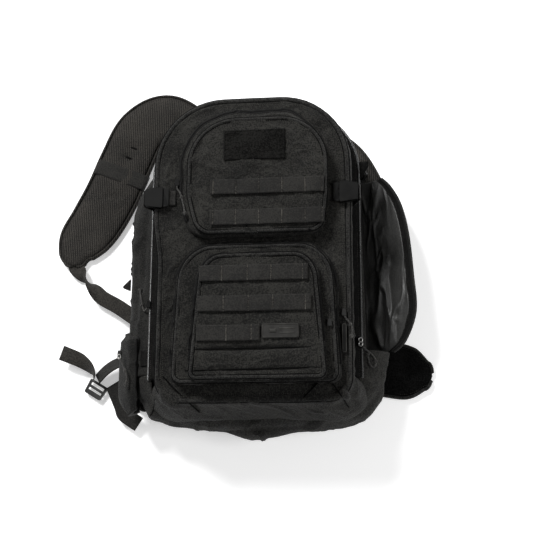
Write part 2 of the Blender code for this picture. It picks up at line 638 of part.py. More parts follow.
def grab_handle():
    """Webbing carry loop at the top of the back."""
    pts = [(-52, 270.6, 25.0), (-48, 283, 25), (-30, 293, 25), (0, 297, 25), (30, 293, 25), (48, 283, 25),
           (52, 270.6, 25.0)]
    run = smooth_run(pts, 3)
    route = [(p, (0, 0, 1), 16.0 if 277 < p[1] else 8.0) for p in run]
    ribbon("grab_handle", route, 16.0, 3.2, "webbing", (0.0, 270.0, 25.0))


def main():
    clear_scene()
    rear_shell()
    front_section()
    upper_pocket()
    lower_pocket()
    buckle(-1, "left")
    buckle(1, "right")
    right_flap()
    sliders()
    left_strap()
    right_strap()
    hips()
    grab_handle()


main()
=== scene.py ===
"""Looks for the trauma backpack: cloth, webbing, zips, cords, light and camera.

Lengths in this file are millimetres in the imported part's own frame; meshes are metres.
"""

import math
from functools import partial

import bmesh
import bpy
import numpy as np
from mathutils import Matrix, Vector


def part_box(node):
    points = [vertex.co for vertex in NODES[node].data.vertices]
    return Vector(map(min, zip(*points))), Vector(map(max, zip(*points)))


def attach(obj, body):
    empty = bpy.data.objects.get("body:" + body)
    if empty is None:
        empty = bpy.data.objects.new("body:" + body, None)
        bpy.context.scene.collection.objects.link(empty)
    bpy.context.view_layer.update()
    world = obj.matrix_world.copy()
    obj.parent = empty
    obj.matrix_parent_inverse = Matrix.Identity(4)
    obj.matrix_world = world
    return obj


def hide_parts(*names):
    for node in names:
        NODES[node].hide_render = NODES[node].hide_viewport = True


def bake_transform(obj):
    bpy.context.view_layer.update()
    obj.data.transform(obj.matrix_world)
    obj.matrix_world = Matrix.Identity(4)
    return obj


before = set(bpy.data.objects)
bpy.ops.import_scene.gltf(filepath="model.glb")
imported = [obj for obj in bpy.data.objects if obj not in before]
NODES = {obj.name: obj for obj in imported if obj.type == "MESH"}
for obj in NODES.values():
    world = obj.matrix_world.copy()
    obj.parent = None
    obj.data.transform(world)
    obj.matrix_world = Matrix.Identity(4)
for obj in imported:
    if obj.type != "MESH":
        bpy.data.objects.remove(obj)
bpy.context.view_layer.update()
MM = 0.001
TAU = 2 * math.pi


# ---------------------------------------------------------------- camera
def make_camera():
    away = np.array([0.1214, -0.2375, 0.0])
    away[2] = math.sqrt(1 - away @ away)
    target, distance, roll = np.array([18.1, -7.15, 100.0]), 1701.6, 0.0039
    right = np.cross([0, 1, 0], away)
    right /= np.linalg.norm(right)
    up = np.cross(away, right)
    turned = math.cos(roll) * right + math.sin(roll) * up
    rise = -math.sin(roll) * right + math.cos(roll) * up
    data = bpy.data.cameras.new("camera")
    data.sensor_width = 36.0
    data.lens = 69.34
    data.clip_end = 20.0
    camera = bpy.data.objects.new("camera", data)
    stand = (target + away * distance) * MM
    rows = [[float(v[i]) for v in (turned, rise, away, stand)] for i in range(3)]
    camera.matrix_world = Matrix(rows + [[0, 0, 0, 1]])
    bpy.context.scene.collection.objects.link(camera)
    bpy.context.scene.camera = camera


make_camera()


# ---------------------------------------------------------------- shapes
def in_space(points):
    """The same points, with a third coordinate of zero where they have only two."""
    p = np.asarray(points, float)
    if p.shape[-1] == 2:
        p = np.concatenate([p, np.zeros(p.shape[:-1] + (1,))], -1)
    return p


def noise(points, size, seed=0):
    """Smooth value noise from -1 to 1 with features of the given size (one number or one per axis)."""
    q = in_space(points) / np.broadcast_to(np.asarray(size, float), (3,)) + seed * 7.137
    base = np.floor(q).astype(np.int64)
    f = q - base
    f = f * f * (3 - 2 * f)
    total = 0.0
    for dx in (0, 1):
        for dy in (0, 1):
            for dz in (0, 1):
                cell = [base[..., axis] + step for axis, step in enumerate((dx, dy, dz))]
                n = cell[0] * 73856093 ^ cell[1] * 19349663 ^ cell[2] * 83492791
                n = (n ^ (n >> 13)) * 1274126177 & 0x7FFFFFFF
                n = (n ^ (n >> 15)) * 668265263 & 0x7FFFFFFF
                share = (f[..., 0] if dx else 1 - f[..., 0]) * (f[..., 1] if dy else 1 - f[..., 1])
                total = total + share * (f[..., 2] if dz else 1 - f[..., 2]) * (n / 0x7FFFFFFF * 2 - 1)
    return total


def folds(points, size, seed=0):
    """Cloth-like height: soft swells crossed by wandering sharp ridges that fade in and out."""
    p = in_space(points)
    size = np.broadcast_to(np.asarray(size, float), (3,))
    warp = np.stack([noise(p, size * 0.9, seed + 21), noise(p, size * 0.9, seed + 22),
                     np.zeros(p.shape[:-1])], -1) * size * 0.45
    p = p + warp
    ridge = np.exp(-(noise(p, size, seed + 1) / 0.17) ** 2)
    ridge = ridge * np.clip(noise(p, size * 1.7, seed + 2) + 0.45, 0, 1)
    fine = np.exp(-(noise(p, size * 0.55, seed + 3) / 0.2) ** 2)
    fine = fine * np.clip(noise(p, size * 1.3, seed + 4) + 0.1, 0, 1)
    return 0.5 * noise(p, size * 1.3, seed) + 1.25 * ridge + 0.7 * fine - 0.35


def slanted(xy, by=0.6):
    return np.stack([xy[..., 0] + by * xy[..., 1], xy[..., 1] - by * xy[..., 0]], -1)


def crease(xy, a, b, width, depth):
    """Height of a valley (negative depth) or ridge along a segment."""
    a, b = np.asarray(a, float), np.asarray(b, float)
    d = b - a
    t = np.clip(((xy - a) @ d) / (d @ d), 0, 1)
    off = np.linalg.norm(xy - (a + t[..., None] * d), axis=-1)
    fade = np.clip(np.minimum(t, 1 - t) * 5, 0.15, 1)
    return depth * np.exp(-(off / width) ** 2) * fade


def resample(points, step=None, count=None, closed=False):
    pts = np.asarray(points, float)
    if closed:
        pts = np.vstack([pts, pts[:1]])
    run = np.concatenate([[0], np.cumsum(np.linalg.norm(np.diff(pts, axis=0), axis=1))])
    n = count or max(3, int(round(run[-1] / step)))
    marks = np.linspace(0, run[-1], n + 1)[:n if closed else n + 1]
    return np.stack([np.interp(marks, run, pts[:, k]) for k in range(pts.shape[1])], 1)


def smooth_run(points, per=8):
    """Smooth curve through given points."""
    pts = np.asarray(points, float)
    ext = np.vstack([pts[:1], pts, pts[-1:]])
    out = []
    for i in range(1, len(ext) - 2):
        a, b, c, d = ext[i - 1:i + 3]
        for k in range(per):
            t = k / per
            out.append(0.5 * (2 * b + (c - a) * t + (2 * a - 5 * b + 4 * c - d) * t * t
                              + (3 * b - a - 3 * c + d) * t ** 3))
    out.append(pts[-1])
    return np.array(out)


def fillet(points, radii, steps=12):
    out = []
    count = len(points)
    for i, (p, r) in enumerate(zip(points, radii)):
        p = np.asarray(p, float)
        if r <= 0:
            out.append(p)
            continue
        ua = np.asarray(points[i - 1], float) - p
        ub = np.asarray(points[(i + 1) % count], float) - p
        ua, ub = ua / np.linalg.norm(ua), ub / np.linalg.norm(ub)
        half = math.acos(float(np.clip(ua @ ub, -1, 1))) / 2
        mid = (ua + ub) / np.linalg.norm(ua + ub)
        centre = p + mid * r / math.sin(half)
        start, end = p + ua * r / math.tan(half), p + ub * r / math.tan(half)
        a0 = math.atan2(*(start - centre)[::-1])
        a1 = math.atan2(*(end - centre)[::-1])
        turn = (a1 - a0 + math.pi) % TAU - math.pi
        out += [centre + r * np.array([math.cos(a0 + turn * k / steps), math.sin(a0 + turn * k / steps)])
                for k in range(steps + 1)]
    return np.array(out)


def box(node):
    low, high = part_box(node)
    return np.array(low) / MM, np.array(high) / MM


def arch(low, high, r_top, r_low, step=3.0):
    """Counter-clockwise outline with a rounded crown and foot, from a box's two corners."""
    x0, y0, x1, y1 = low[0], low[1], high[0], high[1]
    shape = fillet([(x1, y0), (x1, y1), (x0, y1), (x0, y0)], (r_low, r_top, r_top, r_low))
    return resample(shape, step, closed=True)


def level(path, z):
    """A flat path set at one height."""
    return np.column_stack([path, np.full(len(path), z)])


def outward(path, closed=True):
    p = np.asarray(path, float)
    d = np.roll(p, -1, 0) - np.roll(p, 1, 0) if closed else np.gradient(p, axis=0)
    n = np.stack([d[:, 1], -d[:, 0]], 1)
    return n / np.linalg.norm(n, axis=1)[:, None]


def unit(v):
    return v / np.maximum(np.linalg.norm(v, axis=-1), 1e-9)[..., None]


def grid_normals(P, wrap_u=False, wrap_v=False):
    du = np.roll(P, -1, 0) - np.roll(P, 1, 0) if wrap_u else np.gradient(P, axis=0)
    dv = np.roll(P, -1, 1) - np.roll(P, 1, 1) if wrap_v else np.gradient(P, axis=1)
    return unit(np.cross(du, dv))


def facing(N, way):
    """Normals turned over, where needed, so that their middle column faces the given way."""
    middle = N[:, N.shape[1] // 2, :2]
    return -N if (middle * way).sum() < 0 else N


def place(obj, body, replaces=()):
    if body:
        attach(obj, body)
    if replaces:
        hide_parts(*replaces)
    return obj


def mesh_object(name, verts, faces, mats, uvs=None, which=None):
    mesh = bpy.data.meshes.new(name)
    mesh.from_pydata((np.asarray(verts, float) * MM).tolist(), [], faces)
    layer = mesh.uv_layers.new(name="UVMap")
    if uvs is not None:
        layer.data.foreach_set("uv", np.asarray(uvs, np.float32).ravel())
    for mat in mats:
        mesh.materials.append(mat)
    mesh.polygons.foreach_set("use_smooth", [True] * len(mesh.polygons))
    if which is not None:
        mesh.polygons.foreach_set("material_index", which)
    work = bmesh.new()
    work.from_mesh(mesh)
    bmesh.ops.recalc_face_normals(work, faces=work.faces)
    work.to_mesh(mesh)
    work.free()
    mesh.update()
    obj = bpy.data.objects.new(name, mesh)
    bpy.context.scene.collection.objects.link(obj)
    return obj


def grid(name, P, mat, body, wrap_u=False, wrap_v=False, replaces=(), inner=None,
         inner_from=None):
    """Quads over a grid of points; ends of a tube are closed; a part of the v run may take an inner material."""
    nu, nv = P.shape[:2]
    last_u, last_v = nu - (not wrap_u), nv - (not wrap_v)
    I, J = np.meshgrid(np.arange(last_u), np.arange(last_v), indexing="ij")
    I, J = I.ravel(), J.ravel()
    corners = [(I, J), (I + 1, J), (I + 1, J + 1), (I, J + 1)]
    faces = np.stack([(a % nu) * nv + (b % nv) for a, b in corners], -1)
    along = np.linalg.norm(np.diff(np.concatenate([P, P[:1]], 0), axis=0), axis=2).mean(1)
    across = np.linalg.norm(np.diff(np.concatenate([P, P[:, :1]], 1), axis=1), axis=2).mean(0)
    S = np.concatenate([[0], np.cumsum(along)])
    T = np.concatenate([[0], np.cumsum(across)])
    uvs = np.stack([np.stack([S[a], T[b]], -1) for a, b in corners], 1).reshape(-1, 2) * MM
    faces = faces.tolist()
    which = (J >= inner_from).astype(int).tolist() if inner else [0] * len(faces)
    if wrap_v and not wrap_u:
        for end in (0, nu - 1):
            faces.append([end * nv + k for k in range(nv)])
            uvs = np.concatenate([uvs, P[end, :, :2] * MM])
            which.append(0)
    obj = mesh_object(name, P.reshape(-1, 3), faces, [mat] + ([inner] if inner else []), uvs, which)
    return place(obj, body, replaces)


def loft(path, profile, closed):
    """Points of a (outward offset, height) profile carried round a flat path."""
    n = outward(path, closed)
    prof = np.array([profile(p) for p in path]) if callable(profile) else np.broadcast_to(
        np.asarray(profile, float), (len(path), len(profile), 2))
    P = np.empty((len(path), prof.shape[1], 3))
    P[..., :2] = path[:, None, :] + n[:, None, :] * prof[..., :1]
    P[..., 2] = prof[..., 1]
    return P


def tube_points(points, radius, sides=10, wrap=False, ridge=None, squash=1.0):
    """Points of a round tube along a 3-D line, with frames carried along it."""
    p = np.asarray(points, float)
    t = unit(np.roll(p, -1, 0) - np.roll(p, 1, 0) if wrap else np.gradient(p, axis=0))
    ref = np.array([0.0, 0, 1]) if abs(t[0, 2]) < 0.8 else np.array([1.0, 0, 0])
    side = np.empty_like(p)
    s = np.cross(t[0], ref)
    for i in range(len(p)):
        s = s - t[i] * (s @ t[i])
        s = s / np.linalg.norm(s)
        side[i] = s
    up = np.cross(side, t)
    ang = np.arange(sides) / sides * TAU
    r = np.broadcast_to(np.asarray(radius, float), (len(p),))
    if ridge is not None:
        r = r * ridge
    return p[:, None, :] + r[:, None, None] * (np.cos(ang)[None, :, None] * side[:, None, :]
                                               + squash * np.sin(ang)[None, :, None] * up[:, None, :])


def tube(name, points, radius, mat, body, sides=10, wrap=False, replaces=(), squash=1.0):
    return grid(name, tube_points(points, radius, sides, wrap, squash=squash), mat, body, wrap_u=wrap,
                wrap_v=True,
                replaces=replaces)


def coil(name, points, radius, mat, body, pitch=2.0, squash=0.55, wrap=False):
    """Zip coil: a flat-sided run with a ridge for each turn."""
    p = resample(points, pitch / 4, closed=wrap)
    phase = np.arange(len(p)) % 4
    ridge = np.where(phase < 2, 1.0, 0.72)
    P = tube_points(p, radius, 10, wrap, ridge, squash)
    return grid(name, P, mat, body, wrap_u=wrap, wrap_v=True)


def ribbon_points(route, width, thick, per=8):
    """Closed cross-sections of webbing along ((point), (across), width) stations."""
    pts = smooth_run([r[0] for r in route], per)
    acr = smooth_run([r[1] for r in route], per)
    t = unit(np.gradient(pts, axis=0))
    side = unit(acr - t * (acr * t).sum(1)[:, None])
    up = np.cross(side, t)
    half, h = width / 2, thick / 2
    a = np.linspace(-1, 1, 9)
    prof = [(x * half, h) for x in a] + [(half + h * 0.7, 0)] + [(x * half, -h) for x in a[::-1]] + [
        (-half - h * 0.7, 0)]
    prof = np.array(prof)
    return pts[:, None, :] + prof[None, :, :1] * side[:, None, :] + prof[None, :, 1:] * up[:, None, :]


def webbing(name, route, body, mat, width=25.0, thick=1.8, replaces=(), per=8):
    return grid(name, ribbon_points(route, width, thick, per), mat, body, wrap_v=True,
                replaces=replaces)


def piping(name, line, radius, body, closed=True, replaces=()):
    """Cloth-covered roll with two dark tubes along its sewn-down edges, which are painted shade."""
    tube(name, line, radius, MAT["piping"], body, 12, wrap=closed, replaces=replaces)
    n = outward(line[:, :2], closed)
    # Dark tubes beside the roll: painted shade along its sewn-down edges.
    for word, way in (("in", -1), ("out", 1)):
        seam = np.column_stack([line[:, :2] + n * way * (radius + 0.5), line[:, 2] + 0.1])
        tube(f"{name}_seam_{word}", seam, 1.0, MAT["seam"], body, 6, wrap=closed)


THREADS = {}


def stitch(body, points, pitch=3.4, length=2.3, radius=0.36, across=None, closed=False, tone="thread"):
    """Collect thread beads along a line; they become one mesh for each body."""
    p = resample(points, pitch, closed=closed)
    t = unit(np.roll(p, -1, 0) - np.roll(p, 1, 0) if closed else np.gradient(p, axis=0))
    if across is not None:
        t = np.broadcast_to(unit(np.asarray(across, float)), t.shape)
    up = np.array([0.0, 0, 1])
    s = np.cross(t, up)
    bad = np.linalg.norm(s, axis=1) < 0.2
    s[bad] = np.array([1.0, 0, 0])
    s = unit(s)
    n = np.cross(s, t)
    h = length / 2
    ends = [-t * h, t * h, -t * h * 0.45 + s * radius, -t * h * 0.45 - s * radius, t * h * 0.45 + s
            * radius,
            t * h * 0.45 - s * radius, n * radius * 1.1 - t * h * 0.45, n * radius * 1.1 + t * h * 0.45,
            -n * radius * 0.6]
    THREADS.setdefault((body, tone), []).append(np.stack([p + e for e in ends], 1))


BEAD = [(0, 2, 6), (0, 6, 3), (2, 4, 7, 6), (3, 6, 7, 5), (1, 7, 4), (1, 5, 7), (0, 8, 2), (0, 3, 8),
        (2, 8, 4),
        (3, 5, 8), (1, 4, 8), (1, 8, 5)]


def flush_threads():
    for (body, tone), groups in THREADS.items():
        beads = np.concatenate(groups)
        faces = [tuple(i * 9 + k for k in f) for i in range(len(beads)) for f in BEAD]
        obj = mesh_object(f"{tone}s_{body}", beads.reshape(-1, 3), faces, [MAT[tone]])
        place(obj, body)


def bar_tack(body, a, b, wide=2.2, pitch=0.8, tone="thread"):
    """Dense short threads across a line."""
    a, b = np.asarray(a, float), np.asarray(b, float)
    d = (b - a) / np.linalg.norm(b - a)
    stitch(body, [a, (a + b) / 2, b], pitch, wide, 0.34, across=np.cross([0, 0, 1], d), tone=tone)


# ---------------------------------------------------------------- materials
def node_tree(name, colour, rough, metal=0.0, specular=0.4, sheen=0.0, sheen_rough=0.5):
    mat = bpy.data.materials.new(name)
    mat.use_nodes = True
    nt = mat.node_tree
    shader = nt.nodes["Principled BSDF"]
    shader.inputs["Base Color"].default_value = (*colour, 1)
    shader.inputs["Roughness"].default_value = rough
    shader.inputs["Metallic"].default_value = metal
    shader.inputs["Specular IOR Level"].default_value = specular
    shader.inputs["Sheen Weight"].default_value = sheen
    shader.inputs["Sheen Roughness"].default_value = sheen_rough
    return mat, nt, shader


def link(nt, a, b):
    nt.links.new(a, b)


def math_node(nt, op, a, b=None):
    node = nt.nodes.new("ShaderNodeMath")
    node.operation = op
    for socket, value in zip(node.inputs, (a, b)):
        if value is None:
            continue
        if isinstance(value, (int, float)):
            socket.default_value = value
        else:
            link(nt, value, socket)
    return node.outputs[0]


def noise_node(nt, coords, scale, detail=3.0, rough=0.55):
    node = nt.nodes.new("ShaderNodeTexNoise")
    node.inputs["Scale"].default_value = scale
    node.inputs["Detail"].default_value = detail
    node.inputs["Roughness"].default_value = rough
    link(nt, coords, node.inputs["Vector"])
    return node.outputs["Fac"]


def tint(nt, shader, colour, factor, low=0.75, high=1.3):
    """Base colour that drifts between a darker and a lighter shade of itself."""
    ramp = nt.nodes.new("ShaderNodeValToRGB")
    ramp.color_ramp.elements[0].position = 0.33
    ramp.color_ramp.elements[1].position = 0.69
    ramp.color_ramp.elements[0].color = (*[c * low for c in colour], 1)
    ramp.color_ramp.elements[1].color = (*[min(1, c * high) for c in colour], 1)
    link(nt, factor, ramp.inputs["Fac"])
    link(nt, ramp.outputs["Color"], shader.inputs["Base Color"])


def fabric(name, colour, style="plain", pitch=1.0, depth=0.22, rough=0.8, sheen=0.03, flat=False,
           specular=0.2,
           low=0.25, high=2.0, fuzz=0.0):
    """Woven cloth: yarn relief, patchy shade and a soft sheen; flat pieces take their weave from the frame."""
    mat, nt, shader = node_tree(name, colour, rough, specular=specular, sheen=sheen, sheen_rough=0.45)
    times, plus, sine = (partial(math_node, nt, op) for op in ("MULTIPLY", "ADD", "SINE"))
    coord = nt.nodes.new("ShaderNodeTexCoord")
    place_at = coord.outputs["Object"]
    weave_at = coord.outputs["Object"] if flat else coord.outputs["UV"]
    split = nt.nodes.new("ShaderNodeSeparateXYZ")
    link(nt, weave_at, split.inputs[0])
    k = TAU / (pitch * MM)
    u = times(split.outputs[0], k)
    v = times(split.outputs[1], k)
    su, sv = sine(u), sine(v)
    if style == "plain":
        height = times(su, sv)
    elif style == "rib":
        cross = times(sine(times(u, 1.6)), 0.25)
        height = plus(math_node(nt, "ABSOLUTE", sv), cross)
    elif style == "cord":
        slant = plus(u, v)
        other = math_node(nt, "SUBTRACT", u, v)
        height = times(sine(slant), sine(other))
    else:
        dots = times(times(su, sv), 0.3)
        height = plus(times(su, 0.42), plus(dots, 0.5))
    broad = noise_node(nt, place_at, 24.0, 4.0)
    fine = noise_node(nt, place_at, 460.0, 1.5)
    mixed = plus(times(broad, 0.35), times(fine, 0.65))
    mixed = plus(times(math_node(nt, "SUBTRACT", mixed, 0.5), 2.5), 0.5)
    # The spacer mesh's colour follows its relief and is darker in the holes: painted shade in the holes.
    if style == "mesh":
        mixed = plus(times(mixed, 0.45), times(height, 0.55))
    tint(nt, shader, colour, mixed, low, high)
    link(nt, plus(times(broad, 0.22), rough - 0.11), shader.inputs["Roughness"])
    relief = plus(times(height, 1.0 - fuzz), times(fine, 0.8 + fuzz))
    bump = nt.nodes.new("ShaderNodeBump")
    bump.inputs["Strength"].default_value = 0.9
    bump.inputs["Distance"].default_value = depth * MM
    link(nt, relief, bump.inputs["Height"])
    link(nt, bump.outputs["Normal"], shader.inputs["Normal"])
    return mat


def solid(name, colour, rough, metal=0.0, grain=300.0, depth=0.03, edge_wear_and_highlight=None, specular=0.5):
    """Moulded plastic, rubber or coated metal: fine grain, smudges and paler corners, partly wear and partly
    painted highlight on the edges.
    """
    mat, nt, shader = node_tree(name, colour, rough, metal, specular)
    times, plus = (partial(math_node, nt, op) for op in ("MULTIPLY", "ADD"))
    coord = nt.nodes.new("ShaderNodeTexCoord")
    at = coord.outputs["Object"]
    broad = noise_node(nt, at, 60.0, 4.0)
    fine = noise_node(nt, at, grain * 4, 2.0)
    geometry = nt.nodes.new("ShaderNodeNewGeometry")
    # Convex edges are made lighter: painted edge highlight, partly edge wear as well.
    edge = math_node(nt, "GREATER_THAN", geometry.outputs["Pointiness"], 0.6)
    shade = plus(times(broad, 0.7), times(edge, edge_wear_and_highlight or 0.0))
    tint(nt, shader, colour, shade, 0.75, 1.6 + 3 * (edge_wear_and_highlight or 0.0))
    link(nt, plus(times(broad, 0.25), rough - 0.12), shader.inputs["Roughness"])
    bump = nt.nodes.new("ShaderNodeBump")
    bump.inputs["Strength"].default_value = 0.5
    bump.inputs["Distance"].default_value = depth * MM
    link(nt, fine, bump.inputs["Height"])
    link(nt, bump.outputs["Normal"], shader.inputs["Normal"])
    return mat


MAT = {
    "nylon": fabric("nylon_cloth", (0.0124, 0.012, 0.0106)),
    "nylon_dark": fabric("nylon_shadow_cloth", (0.0092, 0.009, 0.0082)),
    "lining": fabric("coated_lining", (0.026, 0.026, 0.025), pitch=0.7, depth=0.03, rough=0.42, sheen=0.0,
                     specular=0.42, low=0.75, high=1.3),
    "mesh": fabric("spacer_mesh_cloth", (0.0175, 0.016, 0.014), "mesh", 3.4, 0.5, rough=0.85, flat=True,
                   low=0.1,
                   high=2.4),
    "padcloth": fabric("pad_binding_cloth", (0.0145, 0.0135, 0.012), flat=True),
    "webbing": fabric("nylon_webbing", (0.0115, 0.0109, 0.0097), "rib", 1.9, 0.25, rough=0.68, low=0.45,
                      high=1.6),
    "worn_webbing": fabric("worn_webbing", (0.021, 0.019, 0.0162), "rib", 1.9, 0.25, rough=0.68, low=0.45,
                           high=1.6),
    "piping": fabric("piping_cloth", (0.0145, 0.0142, 0.0132)),
    "seam": fabric("seam_shadow_cloth", (0.003, 0.003, 0.0029), sheen=0.0, specular=0.05),
    "loop": fabric("loop_pile_cloth", (0.0056, 0.0055, 0.0051), "plain", 1.4, 0.6, rough=0.97, sheen=0.02,
                   flat=True,
                   specular=0.05, fuzz=0.6, low=0.4, high=2.2),
    "velour": fabric("hip_velour", (0.003, 0.003, 0.003), "plain", 1.3, 0.4, rough=0.95, sheen=0.0,
                     flat=True,
                     specular=0.05, fuzz=0.6),
    "tape": fabric("zip_tape_cloth", (0.0036, 0.0035, 0.0033), "rib", 1.2, 0.1, rough=0.7, sheen=0.0,
                   specular=0.1),
    # The cords are coloured lighter than the cloth to stand for the highlights along them: painted highlight.
    "cord": fabric("braided_cord", (0.026, 0.025, 0.023), "cord", 1.6, 0.25, rough=0.6, specular=0.35),
    # Lighter copy of the coil colour for the main zip: painted glint, with real gloss from its low roughness and
    # high specular.
    "coil_shine": solid("polished_coil", (0.02, 0.02, 0.0195), 0.3, grain=200, depth=0.02, specular=0.7),
    "coil": solid("nylon_coil", (0.0045, 0.0045, 0.0043), 0.6, grain=200, depth=0.02, specular=0.1),
    "plastic": solid("acetal_plastic", (0.0035, 0.0035, 0.0034), 0.5, edge_wear_and_highlight=0.25, specular=0.05),
    # Lighter copy of the black plastic for the ladder lock: painted highlight, with real gloss from its lower
    # roughness and higher specular.
    "shiny_painted_highlight": solid("shiny_plastic_painted_highlight", (0.02, 0.02, 0.0195), 0.36, edge_wear_and_highlight=0.5, specular=0.4),
    "metal": solid("blackened_metal", (0.006, 0.006, 0.0058), 0.5, 0.1, edge_wear_and_highlight=0.5, specular=0.08),
    "bright": solid("worn_metal", (0.5, 0.49, 0.47), 0.3, 0.9, edge_wear_and_highlight=0.3),
    "rubber": solid("moulded_rubber", (0.013, 0.0126, 0.0118), 0.6, grain=500, depth=0.05, edge_wear_and_highlight=0.2,
                    specular=0.12),
    "rubber_rim": solid("rubber_rim", (0.034, 0.033, 0.03), 0.6, grain=500, edge_wear_and_highlight=0.2, specular=0.12),
    "thread": fabric("sewing_thread", (0.026, 0.025, 0.022), "cord", 0.6, 0.05, rough=0.7, flat=True),
    "dark_thread": fabric("dark_thread", (0.005, 0.005, 0.0047), "cord", 0.6, 0.05, rough=0.8, flat=True),
    "tack": fabric("tack_thread", (0.05, 0.047, 0.041), "cord", 0.6, 0.05, rough=0.7, flat=True),
}

for node, obj in NODES.items():
    slot_name = obj.data.materials[0].name.split(".")[0] if obj.data.materials else ""
    fixed = {"buckle_plastic": "plastic", "slider_metal": "metal", "rubber": "rubber"}.get(slot_name)
    if node in ("rubber_pull_tag", "main_slider_left", "upper_pocket_slider"):
        fixed = "plastic"
    # The ladder lock takes the lighter plastic as a painted highlight.
    if node == "hip_ladder_lock":
        fixed = "shiny_painted_highlight"
    if fixed:
        for entry in obj.material_slots:
            entry.material = MAT[fixed]
        bevel = obj.modifiers.new("edge", "BEVEL")
        bevel.width = 0.0007 if fixed != "plastic" else 0.0011
        bevel.segments = 3
        bevel.limit_method = "ANGLE"
        bevel.angle_limit = math.radians(40)
        bevel.harden_normals = False


# ---------------------------------------------------------------- cords
GUSSET_TOP = box("rear_gusset")[1][2]
POCKET_LOW = box("upper_pocket_gusset")[0][2]
CORD_D = 3.0


def on_slope(side, points, top):
    x0, x1 = 168.0, 172.0 + 0.62 * 47.0
    return [(side * x, y, top + (96.0 - top) * (x - x0) / (x1 - x0) + CORD_D / 2 + 0.6) for x, y in points]


def on_upper_pocket(points):
    return [(x, y, POCKET_LOW + 1.15 * (x + 117.0) + 9.5) for x, y in points]


PULLS = {
    "main_pull_left": ("main_zip_left", [(-178, -77, 116.5), (-182, -79.5, 112.0)] + on_slope(-1, [
        (185.0, -79), (187.5, -74), (189.5, -67), (191.5, -59), (193.0, -51),
        (194.0, -45)], GUSSET_TOP + 3.0)),
    "main_pull_right": ("main_zip_right", [(175, -147, 119.5), (180, -151, 113)] + on_slope(1, [
        (184.5, -154), (190.0, -159), (194.5, -166), (194.5, -174), (189.5, -178), (185.0, -173),
        (183.5, -166), (182.5, -160)], GUSSET_TOP + 1.7)),
    "upper_pocket_pull": ("upper_zip", [(-121.5, 115.5, 167.4), (-120.5, 110, 170.5)] + on_upper_pocket([
        (-115.5, 103), (-111.5, 94), (-108.5, 84), (-105.5, 74), (-103.5, 64)])),
    "lower_pocket_pull": ("lower_zip", [(148.6, -105, 166.6), (151.5, -110, 168), (156, -116, 167.6),
                                        (159.5, -122, 166.6),
                                        (161, -129, 166.4), (160, -136, 166.4)]),
    "side_pouch_pull": ("side_zip", [(-224, -156.5, 105.0), (-221, -163, 106.5), (-217, -171, 107.0),
                                     (-213, -180, 107.5), (-210.5, -190, 107.0), (-212, -199, 106.0)]),
}


def knot(name, centre, body, size=3.1, turn=0.0):
    """Small overhand knot."""
    a = np.linspace(0, TAU, 49)[:-1]
    x = np.sin(a) + 2 * np.sin(2 * a)
    y = np.cos(a) - 2 * np.cos(2 * a)
    z = -np.sin(3 * a) * 0.8
    c, s = math.cos(turn), math.sin(turn)
    pts = np.stack([x * c - y * s, x * s + y * c, z], 1) * size / 3 * 0.8 + np.asarray(centre, float)
    return tube(name, pts, CORD_D * 0.42, MAT["cord"], body, 8, wrap=True)


def cords():
    for name, (body, points) in PULLS.items():
        line = resample(smooth_run(points, 6), 2.0)
        obj = tube(f"{name}_cord", line, CORD_D / 2, MAT["cord"], body, 10,
                   replaces=(name,) if name in NODES else ())
        tip = line[-1] + unit(line[-1] - line[-3]) * 2.0
        end = knot(f"{name}_knot", tip + np.array([0, 0, 0.5]), body)
        half = knot(f"{name}_mid_knot", line[len(line) // 2] + np.array([0, 0, 1.0]), body, 2.6, 0.8)


cords()


# ---------------------------------------------------------------- main shell
def panel_points(outline, low, top, crown, rings=26, edge=2.5, height=None, belly=0.0):
    """Closed crowned panel: flat or bellied back, rounded rim, swelling face."""
    c = outline.mean(0)
    rows = []
    for t in np.linspace(0, 1, 6)[:-1]:
        scale = 0.02 + 0.96 * t
        rows.append((scale, None, "back"))
    k = 6
    for i in range(k + 1):
        a = -math.pi / 2 + math.pi * i / k
        rows.append((0, a, "rim"))
    for t in np.linspace(1, 0, rings)[1:]:
        rows.append((t ** 0.8, None, "face"))
    n = outward(outline)
    P = np.empty((len(rows), len(outline), 3))
    for r, (scale, a, kind) in enumerate(rows):
        if kind == "rim":
            xy = outline - n * (edge * (1 - math.cos(a)))
            z = (low + top) / 2 + (top - low) / 2 * math.sin(a)
        else:
            inner = outline - n * edge
            xy = c + (inner - c) * max(scale, 0.01)
            share = 1 - scale
            z = low - belly * (1 - scale ** 2) if kind == "back" else top + crown * (1 - (1 - share) ** 2.4)
        P[r, :, :2] = xy
        P[r, :, 2] = z
    if height is not None:
        lift = height(P[..., :2])
        mask = np.array([0.0 if kind == "back" else (0.0 if kind == "rim" and a < 0 else 1.0)
                         for _, a, kind in rows])
        soft = np.array([1.0 if kind != "rim" else 0.4 for _, a, kind in rows])
        P[..., 2] += lift * (mask * soft)[:, None]
    return P


def panel(name, node, outline, body, mat, low=None, top=None, crown=2.0, height=None,
          rings=26,
          edge=2.5, replaces=None, belly=0.0):
    lo, hi = box(node)
    P = panel_points(outline, lo[2] if low is None else low, hi[2] if top is None else top, crown, rings,
                     edge,
                     height, belly=belly)
    return grid(name, P, mat, body, wrap_v=True, replaces=(node,) if replaces is None
                else replaces)


def bulge_at(p):
    t = min(1.0, max(0.0, (p[1] - 90.0) / 90.0))
    t = t * t * (3 - 2 * t)
    side = 47.0 * (1 - t) + 6.0 * t
    foot = min(1.0, max(0.0, (-170.0 - p[1]) / 70.0))
    corner = max(0.0, 1 - ((abs(p[0]) - 150.0) / 150.0) ** 2) if abs(p[0]) < 150 else 1.0
    low = 42.0 - 18.0 * corner ** 2
    return side * (1 - foot) + low * foot


